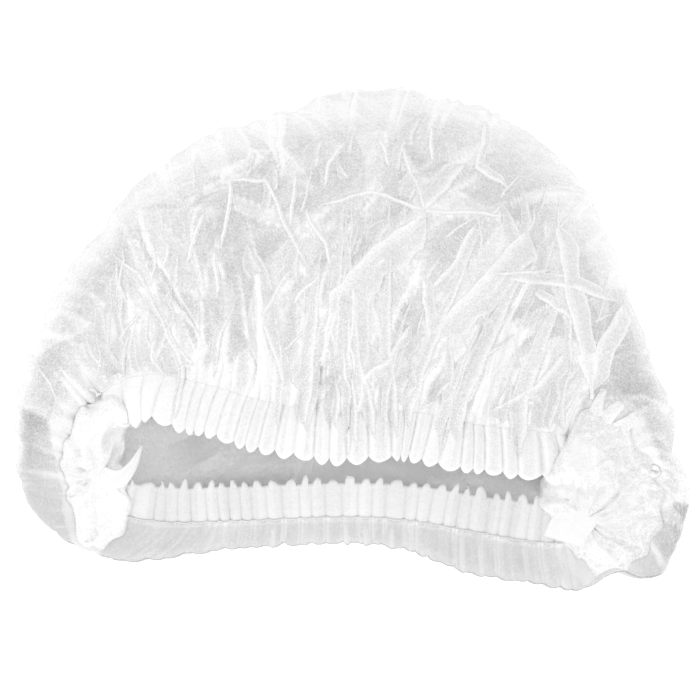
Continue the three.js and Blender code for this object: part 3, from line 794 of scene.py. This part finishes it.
# %% Scattered pleats
pleat_rng = np.random.default_rng(40)
cloth_seen = seen(cloth)
towards_camera = (np.abs(grid_normals(cloth) @ np.array(TO_CAMERA)))


def meridian_line(row, column, length, turn, bends):
    """A line of a few straight stretches that sets out up the crown from one point of the grid."""
    here = cloth_seen[row, column % COLUMNS]
    above, below = min(row + 4, len(TO_SIDE) - 1), max(row - 4, 0)
    ahead = cloth_seen[above, column % COLUMNS] - cloth_seen[below, column % COLUMNS]
    angle = math.atan2(ahead[1], ahead[0]) + turn
    points = [here]
    for bend in bends:
        angle += bend
        points.append(points[-1] + np.array([math.cos(angle), math.sin(angle)]) * length / len(bends))
    return points


pleats = [(points, max(width * 1.2, 0.7), 0.25 + 0.15 * height, 0.6) for height, width, points in CREASES]
upper_columns = [c for c in range(COLUMNS) if upper[c] > 0.6]
for k in range(44):
    column = upper_columns[int(pleat_rng.uniform(0, len(upper_columns)))]
    length = pleat_rng.uniform(10, 38)
    row = int(pleat_rng.uniform(1, 8))
    points = meridian_line(row, column, length, pleat_rng.normal(0, 0.4), pleat_rng.normal(0, 0.22, 3))
    pleats.append((points, pleat_rng.choice([2.0, 4.0, 6.0, 8.0]), pleat_rng.uniform(0.2, 0.5), 0.3))
for k in range(110):
    column = upper_columns[int(pleat_rng.uniform(0, len(upper_columns)))]
    row = int(pleat_rng.uniform(14, 80))
    if towards_camera[row, column] < 0.6:
        continue
    length = pleat_rng.uniform(8, 26)
    points = meridian_line(row, column, length, pleat_rng.normal(0, 0.35), pleat_rng.normal(0, 0.2, 3))
    pleats.append((points, pleat_rng.choice([0.2, 0.4, 2.5, 5.0]), pleat_rng.uniform(0.15, 0.35), 0.25))

# %% Pleats across the seam
crossing = []
for p in np.linspace(0.035, LEFT_END - 0.12, 42) + pleat_rng.uniform(-0.006, 0.006, 42):
    _, base, _, inward_, _, _ = seam_frame(np.array([p]))
    column = int(p * COLUMNS)
    share = pleat_rng.uniform(0.35, 0.95)
    points = list(seen(base + inward_ * HEM_WIDTH * share)) + list(seen(base + inward_ * HEM_WIDTH * share * 0.4))
    drift = pleat_rng.normal(0, 18)
    for row, go in ((6, 0.1), (16, 0.35), (int(pleat_rng.uniform(26, 56)), 1.0)):
        points.append(cloth_seen[row, int(column + drift * go) % COLUMNS])
    crossing.append((points, pleat_rng.choice([1.8, 3.0, 4.5, 6.0]), pleat_rng.uniform(0.5, 1.0)))

# %% Pleat ends
FINGER_DOUBLED = 0.65
FINGERS = [
    # the pleats' round ends that stick out past both ends of the strip: wide at the root and the tip, height, line
    (6, 3.2, 2.2, [(90, 64), (94, 75.5)]),
    (6, 3.4, 2.2, [(94, 64), (101, 70)]),
    (6, 3.4, 2.2, [(99, 60), (106, 66)]),
    (9, 5.0, 2.6, [(102, 47), (109, 44), (115, 45)]),
    (8, 1.2, 1.6, [(88, 88), (89.5, 71)]),
    (9, 5.0, 2.4, [(-97, 54), (-101, 52), (-105, 51)]),
    (7, 4.0, 2.2, [(-95, 47), (-98, 45), (-102, 43)]),
    (5, 1.0, 1.8, [(-86, 70), (-97, 75)]),
    (5, 1.4, 1.8, [(-90, 66), (-100, 67)]),
    (9, 4.5, 1.6, [(-95, 40), (-100, 37), (-105, 36)]),
    (8, 4.5, 2.0, [(-92, 32), (-97, 28), (-101, 26)]),
    (8, 5.0, 2.0, [(-91, 24), (-96, 20), (-99, 18)]),
]


def finger(points, root, tip, height):
    """A flattened tube with a round end, laid on the crown."""
    points = np.array(points, float)
    cum = np.concatenate([[0], np.cumsum(np.linalg.norm(np.diff(points, axis=0), axis=1))])
    length = cum[-1]
    s = np.linspace(0, 1, 26) ** 0.8 * length
    line = eased(np.stack([np.interp(s, cum, points[:, k]) for k in (0, 1)], axis=1), 4)
    heading = unit(np.gradient(line, axis=0))
    left = np.stack([-heading[:, 1], heading[:, 0]], axis=1)
    cap = min(tip / 2, length / 2)
    round_ = np.sqrt(np.clip(1 - (np.clip(s - (length - cap), 0, cap) / cap) ** 2, 0.0004, 1))
    half = (root + (tip - root) * smooth(s / length * 1.3)) / 2 * round_
    u = np.sin(np.linspace(-1, 1, 11) * math.pi / 2)
    spots = line[:, None, :] + left[:, None, :] * (half[:, None] * u[None, :])[..., None]
    base, facing, missed = laid(spots)
    facing = unit(eased(facing, 6))
    rise = height * np.sqrt(np.clip(1 - u**2, 0, 1))[None, :] * round_[:, None]
    rise = rise * smooth(0.3 + s / length)[:, None] + 0.3
    return base + facing * (rise * MM)[..., None], np.clip(0.25 + np.abs(u)[None, :] ** 3 + 0 * rise, 0, 1), 0


# %% The pleats' mesh
verts, faces, sharp_marks, doubled_marks = [], [], [], []
made = [(*pleat(points, width, height, pleat_rng, fade=0.2 if k < len(CREASES) else 0.6), band)
        for k, (points, width, height, band) in enumerate(pleats)]
made += [(*finger(points, root, tip, height), FINGER_DOUBLED) for root, tip, height, points in FINGERS]
made += [(*pleat(points, width, height, pleat_rng, cover_tree), 0.5) for points, width, height in crossing]
ENDS = [
    # beside the strip's ends, where no scattered pleat is laid
    [(94, 88), (104, 74), (130, 74), (130, -10), (84, -10), (80, 62), (90, 70)],
    [(-130, 70), (-96, 66), (-96, -10), (-130, -10)],
]
for k, (rows, sharp, missed, band) in enumerate(made):
    drawn = k < len(CREASES) or band == FINGER_DOUBLED
    if missed or not drawn and any(inside(seen(rows), area, 0.1).max() > 0.5 for area in ENDS):
        continue
    n, m = rows.shape[:2]
    index = len(verts) + np.arange(n * m).reshape(n, m)
    corners = [index[:-1, :-1], index[:-1, 1:], index[1:, 1:], index[1:, :-1]]
    faces += np.stack(corners, axis=-1).reshape(-1, 4).tolist()
    verts += rows.reshape(-1, 3).tolist()
    sharp_marks.append(sharp.reshape(-1))
    doubled_marks.append(np.full(n * m, band))
pleat_mesh = bpy.data.meshes.new("crown_pleats")
pleat_mesh.from_pydata(verts, [], faces)
sharp_marks = np.concatenate(sharp_marks)
set_mark(pleat_mesh, "fold", sharp_marks)
set_mark(pleat_mesh, "doubled", np.concatenate(doubled_marks))
set_mark(pleat_mesh, "single", 0 * sharp_marks)
set_mark(pleat_mesh, "under", 0 * sharp_marks)
pleat_mesh.shade_smooth()
crown_pleats = add_object("crown_pleats", pleat_mesh)
print(len(pleats), "pleats,", len(faces), "faces")

# %% [markdown]
# ## The two ends of the strip
#
# The cap is folded from a pleated strip, welded flat at both ends. On the right the weld shows as a square,
# pressed tab of many layers. On the left the end was trimmed close, and curls up as a small tapering tail.

# %% Bent strips
def at_height(across, up, height):
    """The point that the camera sees at a spot of the picture, at so many millimetres above the floor."""
    ray = AIM + Vector((across * MM, 0, 0)) + IMAGE_UP * (up * MM - PICTURE_MIDDLE) - camera.location
    return np.array(camera.location + ray * ((height * MM - camera.location.z) / ray.z))


def end_strip(name, stops, pleats_across, seed):
    """A bent strip through stops of (across, up, height, width, thickness, turn), with its face pleated."""
    stops = np.array(stops, float)
    t = np.linspace(0, 1, 48)
    knots = np.concatenate([[0], np.cumsum(np.linalg.norm(np.diff(stops[:, :3], axis=0), axis=1))])
    line = np.array([at_height(*stop[:3]) for stop in stops])
    line = eased(np.stack([np.interp(t, knots / knots[-1], line[:, k]) for k in range(3)], axis=1), 12)
    width, thickness, turn = (eased(np.interp(t, knots / knots[-1], stops[:, k]), 6) for k in (3, 4, 5))
    heading = unit(np.gradient(line, axis=0))
    flat_side = unit(np.cross(heading, np.array(TO_CAMERA)))
    face = np.cross(flat_side, heading)
    lean_ = np.radians(turn)[:, None]
    side_ = flat_side * np.cos(lean_) + face * np.sin(lean_)
    face = np.cross(side_, heading)
    u = np.linspace(-1, 1, 26)
    rng = np.random.default_rng(seed)
    waves = np.sin(u * math.pi * pleats_across)[None, :] * 0.4 * MM + rng.uniform(-1, 1, (len(t), len(u))) * 0.04 * MM
    half = (thickness * MM / 2)[:, None] * (1 - np.abs(u) ** 8 * 0.7)[None, :]
    sheets = []
    for sign in (1, -1):
        sheets.append(line[:, None, :] + side_[:, None, :] * (u[None, :, None] * (width * MM / 2)[:, None, None])
                      + face[:, None, :] * (sign * half + waves)[..., None])
    loop = np.concatenate([sheets[0], sheets[1][:, ::-1]], axis=1)
    n, m = loop.shape[:2]
    index = np.arange(n * m).reshape(n, m)
    a, b = index[:-1], np.roll(index[:-1], -1, axis=1)
    c, d = np.roll(index[1:], -1, axis=1), index[1:]
    faces = np.stack([a, b, c, d], axis=-1).reshape(-1, 4).tolist()
    faces += [index[0][::-1].tolist(), index[-1].tolist()]
    mesh = bpy.data.meshes.new(name)
    mesh.from_pydata(loop.reshape(-1, 3).tolist(), [], faces)
    mesh.shade_smooth()
    return outward_check(mesh)


tab = end_strip("welded_tab", [
    (100, 40, 26, 11, 2.2, 0), (93, 36, 29, 12, 2.2, 0), (86, 29, 34, 13.5, 2, 0),
    (80.5, 23, 35, 15, 1.8, 0), (79, 18.3, 34, 15.5, 1.6, 0)], 2, 21)
tail = end_strip("curled_tail", [
    (-95, 45, 33, 6, 2, 0), (-91.5, 42.5, 38, 7.5, 2, 0), (-88, 41, 40, 7.5, 1.9, 10), (-84, 42.2, 41, 6, 1.9, 20),
    (-80.8, 46, 41, 4, 1.8, 20), (-78.6, 50, 41, 2.4, 1.6, 10), (-77, 54, 41, 0.8, 1.2, 0)], 1, 22)
print("strip ends made")

# %% [markdown]
# ## The bunches at both ends
#
# Where the strip stops, all its pleats come together, and the cloth bulges over the end in a crumpled bunch.
# Each bunch is a round patch of cloth laid over the hem's end, with sharp folds that run out from its middle.

# %% Bunched cloth


def bunch(name, middle, corners, lowest, folds_count, height, seed, solid_at, solid_reach, veil):
    """A crumpled patch between a middle and an outline, both as the camera sees them."""
    rng = np.random.default_rng(seed)
    middle, corners = np.array(middle, float), np.array(corners, float)
    turns = np.arctan2(*(corners - middle).T[::-1])
    around = np.linspace(-math.pi, math.pi, 320, endpoint=False)
    order = np.argsort(turns)
    reach_ = np.interp(around, turns[order], np.linalg.norm(corners - middle, axis=1)[order], period=2 * math.pi)
    share_around = (around + math.pi) / (2 * math.pi)
    reach_ = reach_ * (1 + 0.05 * np.sin(share_around * 2 * math.pi * folds_count))
    r = np.linspace(0.03, 1, 46)
    headings = np.stack([np.cos(around), np.sin(around)], axis=1)
    spots = middle + headings[None] * (r[:, None] * reach_[None, :])[..., None]
    eye, points = camera.location, []
    for x, y in spots.reshape(-1, 2) * MM:
        aim_at = AIM + Vector((x, 0, 0)) + IMAGE_UP * (y - PICTURE_MIDDLE)
        point = cover_tree.ray_cast(eye, aim_at - eye)[0] or cover_tree.find_nearest(aim_at)[0]
        if point.z < 5 * MM:
            point = Vector(at_height(x / MM, y / MM, lowest))
        points.append(point)
    points = np.array(points).reshape(*spots.shape[:-1], 3)
    for _ in range(14):
        points[1:-1] = (points[:-2] + 2 * points[1:-1] + points[2:]) / 4
        points = (np.roll(points, 1, axis=1) + 2 * points + np.roll(points, -1, axis=1)) / 4
    bend = share_around[None, :] + 0.02 * np.sin(r[:, None] * 5 + seed) + 0.006 * rng.uniform(-1, 1, (46, 1))

    def closed(x, knots, k):
        return wander(x, knots, seed + k)

    radial = ridges(bend * folds_count + 0.4 * closed(bend, 3 * folds_count // 2, 1))
    radial = radial * (0.7 + 0.5 * closed(bend, folds_count, 2))
    fine = ridges(bend * folds_count * 2 + 0.5 * closed(bend, 2 * folds_count, 3))
    across_fold = ridges(r[:, None] * 3 + closed(bend, folds_count, 4))
    profile = np.sin(math.pi * np.clip(r * 0.93 + 0.06, 0, 1))[:, None] ** 0.6
    rise = 1.2 + height * profile * (0.5 + 0.35 * radial + 0.1 * across_fold) + 0.25 * fine * profile
    rise[-1] = 0.3
    points = points + np.array(TO_CAMERA) * (rise * MM)[..., None]
    crumple, facet = net_lift(crease_net(corners.min(axis=0) - 5, corners.max(axis=0) + 5, 60, seed), spots)
    points = points + np.array(TO_CAMERA) * (1.6 * crumple * profile * MM)[..., None]
    for i in np.ndindex(points.shape[:2]):
        ahead = Vector(points[i]) - eye
        hit = cover_tree.ray_cast(eye, ahead)[0]
        if hit and (hit - eye).length < ahead.length + 0.4 * MM and hit.z > 5 * MM:
            points[i] = np.array(hit) + np.array(TO_CAMERA) * 0.4 * MM
    for _ in range(2):
        points[1:-1] = (points[:-2] + 2 * points[1:-1] + points[2:]) / 4
    sharp = np.clip(0.6 * np.abs(radial) ** 6 + 0.5 * np.abs(across_fold) ** 8, 0, 1)
    core = np.exp(-(((spots - np.array(solid_at)) ** 2).sum(2) / solid_reach**2))
    opaque = np.clip(veil + 0.9 * core + 0.35 * facet**2, 0, 1.3) * (1 - 0.5 * r[:, None] ** 16)
    mesh = sheet_mesh(name, points[::-1], points[0].mean(axis=0), fold=sharp[::-1], doubled=opaque[::-1],
                      single=0 * sharp, under=0 * sharp)
    return add_object(name, mesh)


right_bunch = bunch("right_bunch", (87, 27), [
    (84, 65.5), (92, 66.5), (100, 62), (107, 53), (113, 43), (116, 32), (112, 18), (104, 10), (94, 4), (86, 12),
    (79, 25), (70, 33), (69.5, 38), (73, 43), (78, 50), (80, 58)], 30, 15, 5, 51, (84, 31), 27, 0.4)
left_bunch = bunch("left_bunch", (-94, 42), [
    (-104, 57), (-99, 68), (-90, 73), (-81, 67), (-83, 58), (-85, 48), (-83, 38), (-84, 22), (-92, 15),
    (-101, 17), (-101, 28), (-104, 40)], 32, 13, 4, 52, (-93, 42), 24, 0.9)
print("bunches laid over both ends")

# %% [markdown]
# ## The weld line
#
# A row of short pressed welds closes the pocket of the lower hem. Each is a small dull dash, drawn in at the
# foot of the tubes, and its grey is painted shade, standing for the shade in the gather valleys along the weld.
# One dash is laid over each flank of each tube, so that the line follows the gathers.

# %% Weld dashes
DASH_LENGTH, DASH_WIDTH, DASH_HEIGHT = 1.5 * MM, 0.45 * MM, 0.2 * MM


def weld_and_shade_line(name, first, last, count):
    """A row of small flat dashes along the seam, as one mesh."""
    spots = np.linspace(first, last, count)
    _, base, along_, inward_, outward_, _ = seam_frame(spots)
    slope = (seam_rib(spots + 0.0002) - seam_rib(spots - 0.0002)) * MM / (0.0004 * SEAM_LENGTH)
    heading = unit(along_ + outward_ * np.clip(slope, -1.5, 1.5)[:, None])
    up = unit(np.cross(heading, inward_))
    base = base + outward_ * (seam_rib(spots) * MM)[:, None] + up * DASH_HEIGHT
    verts, faces = [], []
    outline = [(-1, -0.5), (-0.6, -1), (0.6, -1), (1, -0.5), (1, 0.5), (0.6, 1), (-0.6, 1), (-1, 0.5)]
    for b, h, i, u in zip(base, heading, inward_, up):
        k = len(verts)
        for level in (0, 1):
            for x, y in outline:
                verts.append(b + h * x * DASH_LENGTH / 2 + i * y * DASH_WIDTH / 2 + u * level * DASH_HEIGHT)
        faces.append([k + j for j in range(7, -1, -1)])
        faces.append([k + 8 + j for j in range(8)])
        faces += [[k + j, k + (j + 1) % 8, k + 8 + (j + 1) % 8, k + 8 + j] for j in range(8)]
    mesh = bpy.data.meshes.new(name)
    mesh.from_pydata([tuple(v) for v in verts], [], faces)
    return outward_check(mesh)


weld_and_shade = weld_and_shade_line("weld_and_shade_line", LEFT_END + 0.05, 0.965, 150)
print("weld line made")

# %% [markdown]
# ## Nonwoven cloth
#
# The cloth is a web of fine fibres pressed together, thin enough to see through. Its cover is what the eye
# reads: a single flat layer lets about half the light past, and folded or gathered cloth hardly any. A fine
# noise makes the fibres, and a stretched one the crepe ripple that the pleating left in the cloth.


# %% Cloth material
def cloth_material(name, cover, folded_cover, flat_tone, fold_tone, fold_marks, web_share=1.0, under=None,
                   valley_shade_and_grey=None):
    """A web of fibres: how much it covers flat and folded, its tone in both, and the marks that say how folded."""
    finish = bpy.data.materials.new(name)
    finish.use_nodes = True
    tree = finish.node_tree
    nodes, links = tree.nodes, tree.links
    shader = nodes["Principled BSDF"]
    shader.inputs["Roughness"].default_value = 0.9
    shader.inputs["Specular IOR Level"].default_value = 0.15
    shader.inputs["Sheen Weight"].default_value = 0.15
    where = nodes.new("ShaderNodeTexCoord").outputs["Object"]

    def math_(kind, a, b, clamp=False):
        node = nodes.new("ShaderNodeMath")
        node.operation = kind
        node.use_clamp = clamp
        for socket, value in zip(node.inputs, (a, b)):
            if isinstance(value, (int, float)):
                socket.default_value = value
            else:
                links.new(value, socket)
        return node.outputs[0]

    def noise(scale, detail, stretch, turn=0.0):
        mapping = nodes.new("ShaderNodeMapping")
        mapping.vector_type = "TEXTURE"
        mapping.inputs["Rotation"].default_value = (0, 0, turn)
        mapping.inputs["Scale"].default_value = [1 / x for x in stretch]
        links.new(where, mapping.inputs["Vector"])
        node = nodes.new("ShaderNodeTexNoise")
        node.inputs["Scale"].default_value = scale
        node.inputs["Detail"].default_value = detail
        node.inputs["Roughness"].default_value = 0.65
        links.new(mapping.outputs[0], node.inputs["Vector"])
        return node.outputs["Fac"]

    fibres = noise(1300, 2, (1, 1, 1))
    strands = 0
    for scale, turn in ((300, 0.4), (240, 1.5), (350, 2.6)):
        strand = math_("ABSOLUTE", math_("SUBTRACT", noise(scale, 2, (1, 2.2, 1), turn), 0.5), 0)
        strand = math_("SUBTRACT", 1.0, math_("MULTIPLY", strand, 75), clamp=True)
        strands = math_("MAXIMUM", strand, strands)
    ripple = noise(150, 2, (0.5, 4, 4))
    clouds = noise(45, 3, (1, 1, 1))
    marks = 0
    for mark, weight in fold_marks:
        attribute = nodes.new("ShaderNodeAttribute")
        attribute.attribute_name = mark
        marks = math_("ADD", math_("MULTIPLY", attribute.outputs["Fac"], weight), marks, clamp=True)
    web = math_("ADD", math_("MULTIPLY", math_("SUBTRACT", fibres, 0.5), 0.5), math_("MULTIPLY", strands, 0.4))
    web = math_("ADD", web, math_("MULTIPLY", math_("SUBTRACT", ripple, 0.5), 0.25))
    web = math_("ADD", web, math_("MULTIPLY", math_("SUBTRACT", clouds, 0.5), 0.12))
    plain_cover = math_("ADD", cover - 0.05 * web_share, math_("MULTIPLY", web, web_share))
    # Painted shade: cloth marked as lying under the crown is made opaque and given a grey of 0.77, greyer still where
    # it is single, for the shade inside the pouch. Its fibres and fold marks whiten it.
    if under:
        lying = nodes.new("ShaderNodeAttribute")
        lying.attribute_name = under
        lying = math_("MULTIPLY", lying.outputs["Fac"], 1.0, clamp=True)
        single_and_shade_mark = nodes.new("ShaderNodeAttribute")
        single_and_shade_mark.attribute_name = "single"
        plain_cover = math_("SUBTRACT", plain_cover, math_("MULTIPLY", single_and_shade_mark.outputs["Fac"], 0.32))
        steady = math_("MULTIPLY", lying, 0.98)
        plain_cover = math_("ADD", math_("MULTIPLY", plain_cover, math_("SUBTRACT", 1.0, lying)), steady)
    alpha = math_("ADD", plain_cover, math_("MULTIPLY", marks, folded_cover - cover), clamp=True)
    links.new(alpha, shader.inputs["Alpha"])
    tone = nodes.new("ShaderNodeMix")
    tone.data_type = "RGBA"
    tone.inputs["A"].default_value = (flat_tone, flat_tone, flat_tone, 1)
    tone.inputs["B"].default_value = (fold_tone, fold_tone, fold_tone, 1)
    links.new(marks, tone.inputs["Factor"])
    colour = tone.outputs["Result"]
    if under:
        shaded_under_tone = nodes.new("ShaderNodeMix")
        shaded_under_tone.data_type = "RGBA"
        shaded_under_tone.inputs["A"].default_value = (0.77, 0.77, 0.77, 1)
        shaded_under_tone.inputs["B"].default_value = (1.0, 1.0, 1.0, 1)
        whiter = math_("ADD", math_("MULTIPLY", strands, 0.9), math_("MULTIPLY", marks, 0.6), clamp=True)
        links.new(whiter, shaded_under_tone.inputs["Factor"])
        painted_shade_grey = nodes.new("ShaderNodeMix")
        painted_shade_grey.data_type = "RGBA"
        painted_shade_grey.inputs["B"].default_value = (0.5, 0.5, 0.5, 1)
        links.new(shaded_under_tone.outputs["Result"], painted_shade_grey.inputs["A"])
        links.new(math_("MULTIPLY", single_and_shade_mark.outputs["Fac"], 0.45, clamp=True), painted_shade_grey.inputs["Factor"])
        painted_under_shade = nodes.new("ShaderNodeMix")
        painted_under_shade.data_type = "RGBA"
        links.new(colour, painted_under_shade.inputs["A"])
        links.new(painted_shade_grey.outputs["Result"], painted_under_shade.inputs["B"])
        links.new(lying, painted_under_shade.inputs["Factor"])
        colour = painted_under_shade.outputs["Result"]
    # Painted shade: the valley mark greys the hem towards 0.6 in the valleys between its tubes, and on the lower hem
    # all over.
    if valley_shade_and_grey:
        painted_valley_shade = nodes.new("ShaderNodeMix")
        painted_valley_shade.data_type = "RGBA"
        painted_valley_shade.inputs["B"].default_value = (0.6, 0.6, 0.6, 1)
        valley_shade_mark = nodes.new("ShaderNodeAttribute")
        valley_shade_mark.attribute_name = valley_shade_and_grey
        links.new(colour, painted_valley_shade.inputs["A"])
        links.new(valley_shade_mark.outputs["Fac"], painted_valley_shade.inputs["Factor"])
        colour = painted_valley_shade.outputs["Result"]
    if flat_tone == fold_tone:
        shader.inputs["Base Color"].default_value = (flat_tone, flat_tone, flat_tone, 1)
    else:
        links.new(colour, shader.inputs["Base Color"])
    bump = nodes.new("ShaderNodeBump")
    bump.inputs["Strength"].default_value = 0.35
    bump.inputs["Distance"].default_value = 0.0004
    links.new(math_("ADD", fibres, math_("MULTIPLY", ripple, 0.6)), bump.inputs["Height"])
    links.new(bump.outputs["Normal"], shader.inputs["Normal"])
    return finish


crown_cloth = cloth_material("crown_nonwoven", 0.54, 1.0, 0.89, 0.99, [("fold", 0.9), ("doubled", 0.8)],
                             under="under")
hem_cloth = cloth_material("hem_nonwoven", 0.87, 1.0, 0.96, 1.0, [("fold", 1.0)], web_share=0.4, valley_shade_and_grey="valley_shade_and_grey")
weld_cloth = cloth_material("welded_nonwoven", 1.1, 1.2, 0.98, 0.98, [("fold", 0.0)])
crown.data.materials.append(crown_cloth)
for piece in (crown_pleats, right_bunch, left_bunch):
    piece.data.materials.append(crown_cloth)
for hem in (upper_hem, lower_hem):
    hem.data.materials.append(hem_cloth)
for end in (tab, tail):
    end.data.materials.append(weld_cloth)

# %% Weld finish
weld_and_shade_finish = bpy.data.materials.new("pressed_weld_and_shade")
weld_and_shade_finish.use_nodes = True
weld_and_shade_shader = weld_and_shade_finish.node_tree.nodes["Principled BSDF"]
# The dashes' grey is painted shade, for the shade in the gather valleys along the weld.
weld_and_shade_shader.inputs["Base Color"].default_value = (0.78, 0.78, 0.78, 1)
weld_and_shade_shader.inputs["Roughness"].default_value = 0.45
weld_and_shade.data.materials.append(weld_and_shade_finish)

# %% Elastics
elastic_finish = bpy.data.materials.new("elastic_band")
elastic_finish.use_nodes = True
elastic_shader = elastic_finish.node_tree.nodes["Principled BSDF"]
elastic_shader.inputs["Base Color"].default_value = (0.9, 0.89, 0.87, 1)
elastic_shader.inputs["Roughness"].default_value = 0.6
ribbing = elastic_finish.node_tree.nodes.new("ShaderNodeTexWave")
ribbing.inputs["Scale"].default_value = 900
ribbing_bump = elastic_finish.node_tree.nodes.new("ShaderNodeBump")
ribbing_bump.inputs["Strength"].default_value = 0.3
ribbing_bump.inputs["Distance"].default_value = 0.0002
where = elastic_finish.node_tree.nodes.new("ShaderNodeTexCoord")
elastic_finish.node_tree.links.new(where.outputs["Object"], ribbing.inputs["Vector"])
elastic_finish.node_tree.links.new(ribbing.outputs["Fac"], ribbing_bump.inputs["Height"])
elastic_finish.node_tree.links.new(ribbing_bump.outputs["Normal"], elastic_shader.inputs["Normal"])
for name in ("upper_elastic", "lower_elastic"):
    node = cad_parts[name]
    node.data.materials.clear()
    node.data.materials.append(elastic_finish)

# %% [markdown]
# ## The pieces and the body
#
# Each piece rides with the cap's one body, and the solids that the crown, the hems and both ends stand for
# are hidden.

# %% Pieces and their solids
for piece, node, slot in (
    (crown, "crown", "crown_cloth"),
    (upper_hem, "upper_hem", "hem_cloth"),
    (lower_hem, "lower_hem", "hem_cloth"),
    (tab, "right_end_tab", "hem_cloth"),
    (tail, "left_end_tail", "hem_cloth"),
):
    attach(piece, "root")
    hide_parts(node)
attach(weld_and_shade, "root")
for piece in (crown_pleats, right_bunch, left_bunch):
    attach(piece, "root")
